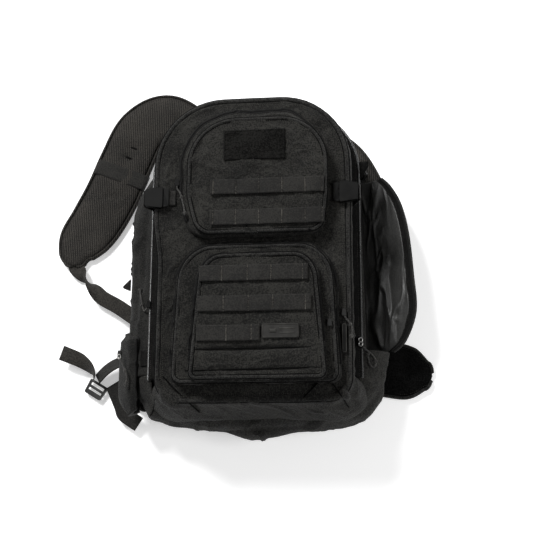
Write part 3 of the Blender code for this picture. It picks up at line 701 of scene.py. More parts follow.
def shell_profile(top, samples=30):
    """Outer run from the foot to the top, then the inner run back down."""
    def shape(p):
        b = bulge_at(p)
        keys = np.array([(0.0, 22.3), (0.62 * b, 42.0), (b, 70.0), (0.62 * b, 96.0), (-4.0, top)])
        outer = resample(smooth_run(keys, 8), count=samples)
        inner = (outer - [3.2, 0])[::-1]
        inner[0, 1] -= 0.4
        return np.concatenate([outer, inner])
    return shape


def shell(name, rim, top, body, amp, seed, replaces, extra=None, samples=30, cloth="nylon"):
    P = loft(rim, shell_profile(top, samples), False)
    m = samples + 1
    N = grid_normals(P[:, :m])
    N = facing(N, outward(rim, False))
    run = np.concatenate([[0], np.cumsum(np.linalg.norm(np.diff(rim, axis=0), axis=1))])
    tall = np.linspace(0, 110, m)
    S = np.stack([np.broadcast_to(run[:, None], P.shape[:1] + (m,)),
                  np.broadcast_to(tall, P.shape[:1] + (m,))], -1)
    lift = 0.6 * amp * folds(S, (66, 34, 1), seed) + 0.55 * amp * folds(S, (26, 20, 1), seed + 5)
    if extra:
        lift = lift + extra(P[:, :m], S)
    fade = np.sin(np.linspace(0, math.pi, m)) ** 0.6
    P[:, :m] += N * (lift * fade)[..., None]
    P[:, m:] = (P[:, :m] - N * 2.4)[:, ::-1]
    return grid(name, P, MAT[cloth], body, wrap_v=True, replaces=replaces,
                inner=MAT["lining"],
                inner_from=m)


def rear_shell():
    lo, hi = box("back_panel")
    outline = arch(lo, hi, 112, 42, 5)
    panel("back_panel_cloth", "back_panel", outline, "back_shell", MAT["nylon"], crown=0.5,
          height=lambda xy: 0.8 * folds(xy, (60, 60, 1), 2), rings=20)
    bound = arch(lo + 1, hi - 1, 111, 41, 4)
    tube("back_panel_binding", level(bound, 19.0), 3.1,
         MAT["webbing"], "back_shell", 8, wrap=True)
    top = GUSSET_TOP
    half = hi[0]
    corners = [(half, 165.0), (half, hi[1]), (-half, hi[1]), (-half, -187.0)]
    rim = resample(fillet(corners, (0, 112, 112, 0)), 4.0)

    def side_folds(P, S):
        xy = P[..., :2]
        left = crease(xy, (-203, 90), (-212, -70), 5, 4.0) + crease(xy, (-184, 130), (-192, -60), 4, -4.0)
        return left + crease(xy, (-196, -20), (-205, -110), 4,
                             -3.5) + crease(xy, (-190, 60), (-214, 20), 5, 3.0)

    shell("rear_gusset_cloth", rim, top, "back_shell", 4.4, 11, ("rear_gusset",), side_folds,
          cloth="nylon_dark")
    corners = [(-half, -187.3), (-half, lo[1]), (half, lo[1]), (half, -150.0)]
    rim = resample(fillet(corners, (0, 42, 42, 0)), 3.5)

    def base_folds(P, S):
        xy = P[..., :2]
        big = crease(xy, (-190, -262), (-150, -236), 12,
                     6.0) + crease(xy, (-172, -240), (-120, -262), 7, -4.5)
        seam = crease(xy, (-70, -282), (70, -272), 3.0,
                      -2.5) + crease(xy, (60, -274), (186, -226), 3.0, -3.0)
        return big + seam + crease(xy, (-60, -292), (60, -286), 8,
                                   2.5) + crease(xy, (-150, -240), (-204, -226), 6, -4.0)

    shell("base_cloth", rim, top + 1.4, "back_shell", 6.5, 23, ("base_panel",), base_folds)


def tape(name, path, profile, body, replaces):
    return grid(name, loft(path, profile, False), MAT["tape"], body, wrap_v=True,
                replaces=replaces)


def main_zip():
    half, up = box("back_panel")[1][:2]
    rear = resample(fillet([(half, 165.0), (half, up), (-half, up), (-half, -187.0)], (0, 112, 112, 0)), 5)
    front = resample(fillet([(half, -196.0), (half, up), (-half, up), (-half, -196.0)], (0, 112, 112, 0)),
                     5)
    z = GUSSET_TOP
    flat = [(-18, z + 0.3), (-1, z + 0.3), (-1, z + 2), (-18, z + 2)]
    tape("main_zip_tape_back", rear, flat, "back_shell", ("main_zip_tape_rear",))
    tape("main_zip_tape_face", front, [(o, h + 2) for o, h in flat], "front_section",
         ("main_zip_tape_front",))
    n = outward(front, False)
    line = level(front + n * 1.4, z + 2.2)
    # The main zip coil takes the lighter coil colour: painted glint.
    coil("main_zip_coil", line, 2.3, MAT["coil_shine"], "front_section")
    for off in (-2.6, -12.5):
        stitch("front_section", level(front + n * off, z + 4.1), 3.2, 2.1)


def zip_end_tab():
    """Folded cloth tab sewn over the left end of the main zip."""
    x = np.linspace(-190.0, -164.0, 12)
    y = np.linspace(-172.0, -145.0, 12)
    X, Y = np.meshgrid(x, y, indexing="ij")
    Z = GUSSET_TOP + 4.6 + (X + 164.0) * 0.53 + 1.2 * noise(np.stack([X, Y], -1), 14, 5)
    top = np.stack([X + 1.2 * noise(np.stack([Y, X], -1), 20, 6), Y, Z], -1)
    grid("main_zip_end_tab", np.concatenate([top, (top - [0, 0, 2.0])[:, ::-1]], 1), MAT["tape"],
         "back_shell",
         wrap_v=True)


def side_pouch():
    b = 47.0
    s = 0.62 * b
    keys = [(s + 0.6, 42.0), (s + 13, 38.0), (b + 12, 52.0), (b + 15, 72.0), (s + 20, 90.0), (s + 9, 99.5),
            (s - 1, 101.5), (s - 7, 103.0), (s - 6, 100.5), (s + 0.5, 96.5), (b + 0.8, 70.0)]
    prof = resample(smooth_run(keys + keys[:1], 6), count=44, closed=True)
    base = fillet([(-172.0, -112.0), (-172.0, -246.0), (-100.0, -246.0)], (0, 42, 0))
    run = resample([p for p in base if p[1] > -226.0], 3.5)
    P = loft(run, prof, False)
    ends = np.linspace(0, 1, len(run))
    pinch = np.clip(np.minimum(ends, 1 - ends) * 9, 0.35, 1) ** 0.5
    mid = P.mean(1, keepdims=True)
    P = mid + (P - mid) * pinch[:, None, None]
    N = grid_normals(P, False, True)
    if (N[len(run) // 2, :, :2] * (P - mid)[len(run) // 2, :, :2]).sum() < 0:
        N = -N
    P = P + N * (2.6 * folds(P, (24, 22, 30), 31))[..., None]
    grid("side_pouch_cloth", P, MAT["nylon_dark"], "back_shell", wrap_v=True,
         replaces=("left_side_pouch",))
    line = P[4:-6, 25] + [0.0, 0.0, 1.2]
    coil("side_pouch_coil", line, 2.0, MAT["coil"], "back_shell")
    for shift in (3, -3):
        stitch("back_shell", P[4:-6, 25 + shift] + [0, 0, 0.5], 3.2, 2.0)
    tab_low, tab_high = box("side_tab")
    tri = fillet([(tab_high[0], tab_low[1]), (tab_high[0], tab_high[1]), (tab_low[0], -30.0)], (1, 1, 3), 4)
    P = panel_points(resample(tri, 1.5, closed=True), tab_low[2], tab_high[2], 0.4, 6, 0.8)
    grid("side_tab_cloth", P, MAT["webbing"], "back_shell", wrap_v=True,
         replaces=("side_tab",))


def front_section():
    rim = front_rim(4)
    body = "front_section"
    prof = resample(smooth_run([(-1.0, 116.3), (4.0, 128.0), (4.5, 143.0), (-1.5, 157.5)], 8), count=20)
    P = loft(rim, prof, True)
    m = P.shape[1]
    N = grid_normals(P, True, False)
    N = facing(N, outward(rim))
    run = np.arange(len(rim)) * 4.0
    S = np.stack([np.broadcast_to(run[:, None], P.shape[:2]),
                  np.broadcast_to(np.linspace(0, 45, m), P.shape[:2])], -1)
    fade = np.sin(np.linspace(0, math.pi, m)) ** 0.5
    xy = P[..., :2]
    low = np.clip((-150 - xy[..., 1]) / 60, 0, 1)
    lift = (2.2 + 2.2 * low) * folds(S, (26, 24, 1), 41) * fade
    P = P + N * lift[..., None]
    P = np.concatenate([P, (P - N * 2.2)[:, ::-1]], 1)
    grid("front_gusset_cloth", P, MAT["nylon"], body, wrap_u=True, wrap_v=True,
         replaces=("front_gusset",), inner=MAT["lining"], inner_from=m)

    n = outward(rim)
    inner = rim - n * 4.9

    def height(xy):
        h = 2.6 * folds(xy, (66, 44, 1), 5) + 3.0 * folds(slanted(xy), (26, 15, 1), 6)
        h = h + crease(xy, (-110, 215), (-20, 250), 7, 3.2) + crease(xy, (20, 256), (120, 215), 9, 2.4)
        h = h + crease(xy, (-135, 160), (-148, 60), 8, 1.6) + crease(xy, (138, 60), (128, -40), 8, 2.4)
        h = h + crease(xy, (-132, 30), (-60, 22), 6, 1.8) + crease(xy, (40, 24), (136, 10), 7, 2.4)
        h = h + crease(xy, (-135, -212), (-90, -230), 5,
                       -3.0) + crease(xy, (150, -205), (110, -232), 5, -3.0)
        return h + 1.5 * np.clip((-200 - xy[..., 1]) / 20, 0, 1)

    lo, hi = box("front_panel")
    panel("front_panel_cloth", "front_panel", inner, body, MAT["nylon"], low=lo[2], top=hi[2] - 0.8,
          crown=0.6,
          height=height, rings=70)
    wander = 0.5 * noise(np.column_stack([rim, np.zeros(len(rim))]), 40, 8)
    bead = np.column_stack([rim - n * (1.5 + wander)[:, None], np.full(len(rim), 160.9) + wander])
    piping("front_piping_cloth", bead, 3.4, body, replaces=("front_piping",))
    for off, z in ((-8.0, 164.2), (-10.6, 164.2)):
        stitch(body, level(rim + n * off, z), 3.4, 2.2, closed=True)
    seam = rim + n * 2.0
    stitch(body, level(seam, 156.0), 3.6, 2.3, closed=True)


def front_rim(step):
    """Outline of the front, drawn in a little at its lower left."""
    rim = arch((-158, -236), (158, 264), 112, 36, step)
    share = np.clip((70 - rim[:, 1]) / 90, 0, 1)
    rim[:, 0] += 9.0 * share * share * (3 - 2 * share) * np.clip((-60 - rim[:, 0]) / 80, 0, 1)
    return rim


def on_surface(P, line, lift=0.2):
    """Points of a drawn line set down on the nearest points of a surface grid."""
    run = resample(np.array(line, float), 2.5)
    flat = P.reshape(-1, 3)
    near = ((flat[None, :, :2] - run[:, None]) ** 2).sum(-1)
    pick = near.argmin(1)
    z = flat[pick, 2]
    z = np.convolve(np.pad(z, 2, mode="edge"), np.ones(5) / 5, mode="valid")
    return np.column_stack([run, z + lift])


def hinge_cloth():
    """Loose cloth joining the foot of the front to the base: the clamshell's fabric hinge."""
    rim = fillet([(-149.0, -186.0), (-149.0, -236.0), (158.0, -236.0), (158.0, -186.0)], (0, 34, 36, 0))
    rim = resample(rim, 3.0)
    ends = np.linspace(0, 1, len(rim))
    n = outward(rim, False)

    def shape(p):
        corner = np.clip((abs(p[0]) - 110) / 48, 0, 1)
        far = 25.0 + 9.0 * corner
        out = float(np.clip((-187 - p[1]) / 34, 0, 1)) ** 0.6
        keys = [(-8.0, 164.6), (-2.0, 165.2), (4.5, 160.0), (9.0, 147.0), (far * 0.62, 130.0),
                (far * 0.9, 112.0),
                (far, 97.0)]
        keys = [(-8.0 + (o + 8.0) * out, z - 4.0 * (1 - out)) for o, z in keys]
        return resample(smooth_run(keys, 6), count=30)

    P = loft(rim, shape, False)
    m = P.shape[1]
    N = grid_normals(P)
    N = facing(N, n)
    S = np.stack([P[..., 0] + 0.8 * P[..., 2], P[..., 2] - 0.35 * P[..., 0]], -1)
    fade = np.sin(np.linspace(0.12, math.pi, m)) ** 0.5
    lift = 3.6 * folds(S, (40, 80, 1), 27) + 2.8 * folds(S, (22, 34, 1), 29)
    xy = P[..., :2]
    lift = lift + crease(xy, (-142, -190), (-80, -252), 4.5,
                         -7.0) + crease(xy, (-146, -194), (-186, -262), 5, -6.0)
    lift = lift + crease(xy, (-138, -214), (-112, -256), 9,
                         5.0) + crease(xy, (82, -230), (118, -194), 4.5, -5.0)
    lift = lift + crease(xy, (120, -192), (156, -238), 5,
                         5.0) + crease(xy, (138, -196), (172, -250), 4.5, -5.5)
    edge = np.clip(np.minimum(ends, 1 - ends) * 14, 0, 1)
    P = P + N * (lift * fade * (0.3 + 0.7 * edge[:, None]))[..., None]
    top = P
    P = np.concatenate([P, (P - N * 1.6)[:, ::-1]], 1)
    # Dark tubes laid along the sharpest creases: painted shade in the creases.
    for k, line in enumerate((((-138, -196), (-84, -250)), ((-142, -200), (-172, -252)),
                              ((84, -232), (116, -200)),
                              ((122, -200), (152, -244)))):
        seam = tube(f"hinge_cloth_seam_{k + 1}", on_surface(top, line), 1.1, MAT["seam"], None, 8)
        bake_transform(seam)
    obj = grid("clamshell_hinge_cloth", P, MAT["nylon"], None, wrap_v=True)
    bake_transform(obj)


def right_rim_cloth():
    """Strip of the right wall left on the rim beside the open flap, with its half of the zip."""
    y = np.linspace(-168.0, 172.0, 115)
    wide = np.interp(y, [-168, -120, -60, 60, 120, 172], [17, 17, 15, 9, 6, 5])
    t = np.linspace(0, 1, 9)
    S = np.stack(np.broadcast_arrays(y[:, None], t[None] * 20), -1)
    puff = 2.2 * folds(S, (30, 20, 1), 33) * np.sin(math.pi * t) + 2.0 * np.sin(math.pi * t)
    X = 171.0 + wide[:, None] * t * 0.55 + puff * 0.3
    Z = GUSSET_TOP - 0.4 - wide[:, None] * t * 1.2 + puff * 0.5
    top = np.stack([X, np.broadcast_to(y[:, None], X.shape), Z], -1)
    grid("right_rim_strip", np.concatenate([top, (top - [0.8, 0, 1.4])[:, ::-1]], 1), MAT["nylon"],
         "back_shell",
         wrap_v=True)
    coil("right_rim_coil", top[2:-2, -1] + [0.6, 0, -0.6], 2.1, MAT["coil"], "back_shell")
    stitch("back_shell", top[2:-2, 6] + [0.4, 0, 0.5], 3.2, 2.0)


# ---------------------------------------------------------------- pockets
def match(lower, upper):
    a, b = lower.mean(0), upper.mean(0)
    angles = np.arctan2(upper[:, 1] - b[1], upper[:, 0] - b[0])
    want = np.arctan2(lower[:, 1] - a[1], lower[:, 0] - a[0])
    gap = np.abs((angles[None] - want[:, None] + math.pi) % TAU - math.pi)
    return upper[gap.argmin(1)]


def pocket_wall(name, node, lower, upper, low, high, body, seed, amp=1.4, swell=2.5, zip_at=0.45,
                buckle_side=False):
    """Leaning gusset with a zip sewn round it."""
    m = 22
    t = np.linspace(0, 1, m)
    P = np.empty((len(lower), m, 3))
    P[..., :2] = lower[:, None] * (1 - t)[None, :, None] + upper[:, None] * t[None, :, None]
    P[..., 2] = low + (high - low) * t
    N = grid_normals(P, True, False)
    N = facing(N, outward(lower))
    run = np.arange(len(lower)) * 3.0
    S = np.stack([np.broadcast_to(run[:, None], P.shape[:2]), np.broadcast_to(t * 30, P.shape[:2])], -1)
    groove = -1.6 * np.exp(-((t - zip_at) / 0.10) ** 2)
    ease = np.clip((104 - lower[:, 0]) / 40, 0, 1)[:, None] if buckle_side else np.ones((len(lower), 1))
    lift = swell * np.sin(math.pi * t) + amp * folds(S, (24, 18, 1),
                                                     seed) * np.sin(math.pi * t) ** 0.5 + groove
    P = P + N * (lift * ease - 3.6 * (1 - ease) * np.sin(math.pi * t))[..., None]
    k = int(zip_at * (m - 1))
    coil_line = P[:, k] + N[:, k] * 1.3
    full = np.concatenate([P, (P - N * 2.0)[:, ::-1]], 1)
    grid(name, full, MAT["nylon"], body, wrap_u=True, wrap_v=True, replaces=(node,),
         inner=MAT["lining"], inner_from=m)
    keep = lower[:, 1] > lower[:, 1].min() + 25
    first = int(np.argmax(~keep)) if (~keep).any() else 0
    order = np.roll(np.arange(len(lower)), -first)
    order = order[keep[order]]
    line = coil_line[order]
    coil(f"{name}_coil", line, 2.5, MAT["coil"], body)
    span = range(max(1, k - 5), min(m - 1, k + 6))
    band = np.stack([P[order, j] + N[order, j] * 0.5 for j in span], 1)
    under = np.stack([P[order, j] - N[order, j] * 0.4 for j in span], 1)[:, ::-1]
    grid(f"{name}_tape", np.concatenate([band, under], 1), MAT["tape"], body, wrap_v=True)
    for shift in (-6, 6):
        stitch(body, P[order, k + shift] + N[order, k + shift] * 0.5, 3.2, 2.0)


def molle(node, tacks, body, trim=(0.0, 0.0)):
    """Webbing row sewn down at the given places and standing slightly proud between them."""
    lo, hi = box(node)
    lo[0] += trim[0]
    hi[0] -= trim[1]
    x = np.linspace(lo[0], hi[0], int((hi[0] - lo[0]) / 1.2))
    y = np.linspace(lo[1], hi[1], 11)
    marks = np.array([lo[0]] + list(tacks) + [hi[0]])
    k = np.clip(np.searchsorted(marks, x, side="right") - 1, 0, len(marks) - 2)
    f = (x - marks[k]) / (marks[k + 1] - marks[k])
    rise = 1.9 * np.sin(math.pi * f) ** 0.55 + 0.25 * noise(np.column_stack([x, x * 0]), 9, 4)
    tilt = 0.6 * noise(np.column_stack([x, x * 0 + 5]), 30, 6)
    X, Y = np.meshgrid(x, y, indexing="ij")
    Z = lo[2] + 1.4 + rise[:, None] * (1 - 0.25
                                       * ((Y
                                           - y.mean()) / 12.5) ** 2) + tilt[:, None] * (Y - y.mean()) / 12.5
    Y = Y + 0.5 * noise(np.column_stack([x, x * 0 + 2]), 45, 9)[:, None]
    top = np.stack([X, Y, Z], -1)
    bottom = top - [0, 0, 1.5]
    P = np.concatenate([top, bottom[:, ::-1]], 1)
    grid(f"{node}_webbing", P, MAT["webbing"], body, wrap_v=True, replaces=(node,))
    for mark in tacks:
        bar_tack(body, (mark, lo[1] + 0.5, lo[2] + 2.2), (mark, hi[1] - 0.5, lo[2] + 2.2), 2.4, 0.7, "tack")


def tucked(outline):
    """Outline whose foot is pulled in, mostly at the left."""
    p = np.array(outline, float)
    share = np.clip((98 - p[:, 1]) / 66, 0, 1) ** 1.4
    p[:, 0] += share * np.where(p[:, 0] < 0, 17.0, -7.0)
    return p


def upper_pocket():
    lo, hi = box("upper_pocket_gusset")
    lower = tucked(arch(lo, hi, 92, 22, 3))
    clo, chi = box("upper_pocket_cover")
    cover = tucked(arch(clo, chi, 76, 18, 1))
    upper = match(lower, cover)
    pocket_wall("upper_pocket_wall", "upper_pocket_gusset", lower, upper, lo[2], hi[2], "front_section",
                51, 2.6, 5.4,
                0.42, buckle_side=True)

    def height(xy):
        calm = 1 - 0.7 * np.exp(-((xy[..., 0] - 9) / 56) ** 4 - ((xy[..., 1] - 173) / 34) ** 4)
        h = 1.8 * folds(xy, (60, 40, 1), 13) + 2.2 * calm * folds(slanted(xy, -0.5), (28, 15, 1), 14)
        h = h + crease(xy, (-80, 190), (-88, 110), 7, -2.6) + crease(xy, (-70, 205), (-60, 120), 9, 2.2)
        h = h + crease(xy, (100, 190), (116, 110), 8, 2.4) + crease(xy, (85, 200), (105, 130), 5, -2.2)
        h = h + crease(xy, (-92, 80), (-86, 35), 6, -3.0) + crease(xy, (-76, 90), (-72, 40), 5, 2.0)
        h = h + crease(xy, (-60, 78), (110, 76), 8, 1.4)
        return h

    body = "upper_pocket"
    panel("upper_pocket_front", "upper_pocket_cover", resample(cover, 3, closed=True), body, MAT["nylon"],
          low=clo[2], top=chi[2] - 1.6, crown=0.8, height=height, rings=60)
    edge = resample(cover, 3, closed=True)
    n = outward(edge)
    piping("upper_pocket_piping", level(edge - n * 0.6, clo[2] + 2.8), 2.6, body)
    stitch(body, level(edge - n * 5.5, chi[2] - 0.6), 3.4, 2.2, closed=True)
    loop_patch()
    for index in (1, 2):
        node = f"upper_molle_row_{index}"
        molle(node, [-57 + 37.0 * k for k in range(5)] + [118], body)


def loop_patch():
    lo, hi = box("loop_patch")
    x = np.arange(lo[0], hi[0] + 0.4, 0.8)
    y = np.arange(lo[1], hi[1] + 0.4, 0.8)
    X, Y = np.meshgrid(x, y, indexing="ij")
    xy = np.stack([X, Y], -1)
    edge = np.minimum.reduce([X - lo[0], hi[0] - X, Y - lo[1], hi[1] - Y])
    pile = 0.55 * noise(xy, 1.3, 3) + 0.45 * noise(xy, 2.6, 7) + 0.5 * noise(xy, 9, 1)
    Z = hi[2] - 0.3 + pile * np.clip(edge / 2, 0, 1) - 1.3 * np.exp(-edge / 0.8)
    top = np.stack([X, Y, Z], -1)
    bottom = top.copy()
    bottom[..., 2] = lo[2]
    ring = np.concatenate([top, bottom[:, ::-1]], 1)
    grid("loop_patch_pile", ring, MAT["loop"], "upper_pocket", wrap_v=True,
         replaces=("loop_patch",))
    rim = fillet([(lo[0] + 1.4, lo[1] + 1.4), (hi[0] - 1.4, lo[1] + 1.4), (hi[0] - 1.4, hi[1] - 1.4),
                  (lo[0] + 1.4, hi[1] - 1.4)], (1, 1, 1, 1))
    stitch("upper_pocket", level(rim, hi[2]), 2.6, 1.8, closed=True,
           tone="dark_thread")


def narrowed(outline, share=0.13):
    """Outline drawn in towards its top."""
    p = np.array(outline, float)
    mid, low, high = p[:, 0].mean(), p[:, 1].min(), p[:, 1].max()
    p[:, 0] = mid + (p[:, 0] - mid) * (1 - share * (p[:, 1] - low) / (high - low))
    return p


def lower_pocket():
    lo, hi = box("lower_pocket_gusset")
    lower = narrowed(arch(lo, hi, 60, 14, 3), 0.06)
    clo, chi = box("lower_pocket_cover")
    cover = narrowed(arch(clo, chi, 55, 14, 1), 0.08)
    pocket_wall("lower_pocket_wall", "lower_pocket_gusset", lower, match(lower, cover), lo[2], hi[2],
                "front_section", 61, 3.0, 2.6, 0.5)
    edge = resample(cover, 3, closed=True)
    panel("lower_pocket_front", "lower_pocket_cover", edge, "lower_pocket", MAT["nylon"], low=clo[2],
          top=chi[2] - 1.0, crown=0.3, height=lambda xy: 1.8 * folds(xy, (32, 18, 1), 17), rings=40)
    n = outward(edge)
    piping("lower_pocket_piping", level(edge - n * 0.6, clo[2] + 1.4), 2.6,
           "lower_pocket")
    stitch("lower_pocket", level(edge - n * 6, chi[2] + 0.2), 3.4, 2.2, closed=True)

    lo, hi = box("front_pocket_gusset")
    lower = narrowed(arch(lo, hi, 40, 10, 3))
    clo, chi = box("front_pocket_cover")
    cover = narrowed(arch(clo, chi, 38, 10, 1), 0.16)
    pocket_wall("front_pocket_wall", "front_pocket_gusset", lower, match(lower, cover), lo[2], hi[2],
                "lower_pocket", 71, 2.4, 2.2, 0.5)
    edge = resample(cover, 3, closed=True)

    def height(xy):
        h = 1.3 * folds(xy, (50, 34, 1), 19) + 1.8 * folds(slanted(xy, 0.3), (32, 14, 1), 20)
        h = h + crease(xy, (-92, -161), (116, -160), 2.6,
                       -3.6) + crease(xy, (-96, -194), (120, -191), 2.6, -3.0)
        h = h + crease(xy, (-80, -66), (110, -68), 7, 1.5) + crease(xy, (-80, -115), (110, -114), 6, 1.3)
        h = h + crease(xy, (-80, -163), (105, -158), 6, -2.4) + crease(xy, (-75, -175), (110, -172), 8, 2.0)
        return h

    body = "front_pocket"
    panel("front_pocket_front", "front_pocket_cover", edge, body, MAT["nylon"], low=clo[2], top=chi[2]
          - 1.6,
          crown=0.7, height=height, rings=50)
    n = outward(edge)
    piping("front_pocket_piping", level(edge - n * 0.6, clo[2] + 2.6), 2.6, body)
    stitch(body, level(edge - n * 6, chi[2] - 0.4), 3.4, 2.2, closed=True)
    molle("lower_molle_row_1", [-38, 2, 39, 88], body, (6, 16))
    molle("lower_molle_row_2", [-35, 4, 42, 92], body, (4, 12))
    molle("lower_molle_row_3", [-30, 9], body, (3, 0))
    # Dark tubes along the two sunken creases: painted shade in the creases.
    for k, line in enumerate((((-90, -161), (114, -160)), ((-94, -194), (118, -191)))):
        run = resample(np.array([(*line[0], chi[2] - 2.9), (*line[1], chi[2] - 2.9)]), 4)
        tube(f"front_pocket_seam_{k + 1}", run, 1.1, MAT["seam"], body, 8)
    rubber_patch()


def rubber_patch():
    lo, hi = box("rubber_patch")
    rim = resample(fillet([(hi[0] - 1.6, lo[1] + 1.6), (hi[0] - 1.6, hi[1] - 1.6),
                           (lo[0] + 1.6, hi[1] - 1.6),
                           (lo[0] + 1.6, lo[1] + 1.6)], (2, 2, 2, 2)), 1.5, closed=True)
    tube("rubber_patch_rim", level(rim, hi[2]), 0.8, MAT["rubber_rim"],
         "front_pocket", 8, wrap=True)
    for k, (x0, x1, y) in enumerate(((12, 22, 0.0), (27, 50, 3.4), (27, 50, -3.4))):
        line = np.array([(lo[0] + x0, (lo[1] + hi[1]) / 2 + y, hi[2] + 0.1),
                         (lo[0] + x1, (lo[1] + hi[1]) / 2 + y, hi[2] + 0.1)])
        tube(f"rubber_patch_bar_{k + 1}", resample(line, 2.0), 1.3 if k else 3.2, MAT["rubber_rim"],
             "front_pocket", 8,
             squash=0.3)


# ---------------------------------------------------------------- buckles and webbing
def buckle_webbing():
    for side, word in ((-1, "left"), (1, "right")):
        y = 96.0
        route = [((side * 175.6, y, 170.0), (0, 1, 0)), ((side * 176.6, y, 163.0), (0, 1, 0)),
                 ((side * 171.0, y, 148.0), (0, 1, 0)), ((side * 165.0, y, 130.0), (0, 1, 0))]
        webbing(f"{word}_compression_strap", route, "front_section", MAT["webbing"],
                replaces=(f"{word}_compression_webbing",))
        obj = webbing(f"{word}_buckle_strap", [((side * 124.0, y, 165.6), (0, 1, 0)),
                                               ((side * 128.5, y, 165.6), (0, 1, 0)),
                                               ((side * 132.0, y, 166.4), (0, 1, 0)),
                                               ((side * 137.0, y, 169.0), (0, 1, 0))],
                      None, MAT["webbing"], 24.0, 1.4, replaces=(f"{word}_buckle_webbing",))
        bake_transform(obj)


# ---------------------------------------------------------------- fallen flap
def right_flap():
    foot_x, foot_z, lean = 176.5, 24.5, math.radians(55)
    ends = [(-146.0, 58.0), (-128.0, 82.0), (-83.0, 102.0), (-23.0, 99.0), (47.0, 92.0), (100.0, 79.0),
            (135.0, 60.0), (155.0, 42.0)]
    run = resample(smooth_run(ends, 8), 3.0)
    along = np.array([math.sin(lean), math.cos(lean)])
    normal = np.array([-along[1], along[0]])

    def surface(start, stop, count, lift, thick, seed, amp):
        rows = []
        for y, reach in run:
            a = start if start >= 0 else reach + start
            u = np.linspace(a, reach + stop, count)
            rows.append(np.column_stack([u, np.full(count, y)]))
        S = np.array(rows)
        reach = run[:, 1][:, None]
        sag = 3.5 * (1 - np.abs(2 * S[..., 0] / reach - 1))
        outer = np.clip((reach - 8 - S[..., 0]) / 34, 0.12, 1)
        h = 2.2 + (lift
                   - 2.2) * outer - sag + amp * outer * folds(np.stack([S[..., 1], S[..., 0]], -1),
                                                              (62, 17, 1), seed)

        def lay(hh):
            return np.stack([foot_x + along[0] * S[..., 0] + normal[0] * hh, S[..., 1],
                             foot_z + along[1] * S[..., 0] + normal[1] * hh], -1)

        return np.concatenate([lay(h), lay(h - thick)[:, ::-1]], 1), lay(h)

    P, _ = surface(0.0, 0.0, 26, 1.2, 2.2, 81, 1.0)
    grid("flap_shell_cloth", P, MAT["nylon"], "right_flap", wrap_v=True,
         replaces=("right_flap_shell",))
    P, _ = surface(2.0, -12.0, 50, 5.4, 1.2, 83, 4.6)
    grid("flap_lining_cloth", P, MAT["lining"], "right_flap", wrap_v=True,
         replaces=("right_flap_lining",))
    P, face = surface(-13.0, 0.5, 8, 4.2, 1.3, 85, 0.8)
    grid("flap_zip_cloth", P, MAT["tape"], "right_flap", wrap_v=True,
         replaces=("right_flap_zip_tape",))
    coil("flap_zip_coil", face[:, 6] + [0, 0, 1.0], 2.1, MAT["coil"], "right_flap")
    stitch("right_flap", face[:, 1] + [0, 0, 0.8], 3.2, 2.1)
    edge = face[:, -1] + [1.0, 0, -2.5]
    tube("flap_edge_piping", edge, 2.8, MAT["piping"], "right_flap", 10)


# ---------------------------------------------------------------- straps and pads
def strap_outline(spine, per=10):
    run = smooth_run(spine, per)
    t = unit(np.gradient(run[:, :2], axis=0))
    n = np.stack([t[:, 1], -t[:, 0]], 1)
    return run, n


def pad(name, spine, body, node, mat, seed, low=0.6, high=13.0, crown=1.2, dents=(), amp=0.7):
    """Padded strap: soft slab along a spine with a bound, stitched edge."""
    run, n = strap_outline(spine)
    for end in (0, -1):
        tip = unit(run[end, :2] - run[end - 1 if end else 1, :2])
        reach = run[end, 2] * 0.22
        more = np.array([[*(run[end, :2] + tip * reach * math.sin(f)), run[end, 2] * max(0.3, math.cos(f))]
                         for f in np.linspace(0.3, 1.45, 6)])
        side = np.repeat(n[end][None], 6, 0)
        run = np.vstack([run, more]) if end else np.vstack([more[::-1], run])
        n = np.vstack([n, side]) if end else np.vstack([side, n])
    a = np.linspace(-1, 1, 27)
    shape = (1 - np.abs(a) ** 5) ** 0.5
    mid = (low + high) / 2
    P = np.empty((len(run), 54, 3))
    half = run[:, 2] / 2
    for k, (s, sign) in enumerate([(v, 1) for v in a] + [(v, -1) for v in a[::-1]]):
        P[:, k, :2] = run[:, :2] + n * (half * s)[:, None]
        h = (high - mid) * max(shape[k if k < 27 else 53 - k], 0.12)
        P[:, k, 2] = mid + sign * h + (crown * (1 - s * s) if sign > 0 else 0)
    top = P[:, :27]
    xy = top[..., :2]
    lift = amp * folds(xy, (60, 45, 1), seed)
    for dent in dents:
        lift = lift + crease(xy, *dent)
    P[:, :27, 2] += lift * (1 - np.abs(a) ** 4)
    for end in (0, len(run) - 1):
        P[end, :, 2] = mid + (P[end, :, 2] - mid) * 0.5
    obj = grid(name, P, mat, body, wrap_v=True, replaces=(node,))
    inflate(obj)
    for word, s in (("a", -1), ("b", 1)):
        line = level(run[:, :2] + n * ((half - 1.0) * s)[:, None], mid)
        tube(f"{name}_binding_{word}", line, 2.9, MAT["piping" if mat is MAT["velour"] else "mesh"], body,
             10,
             squash=1.9)
        seam = level(run[:, :2] + n * ((half - 6.5) * s)[:, None], high - 0.6)
        stitch(body, seam, 3.4, 2.2)


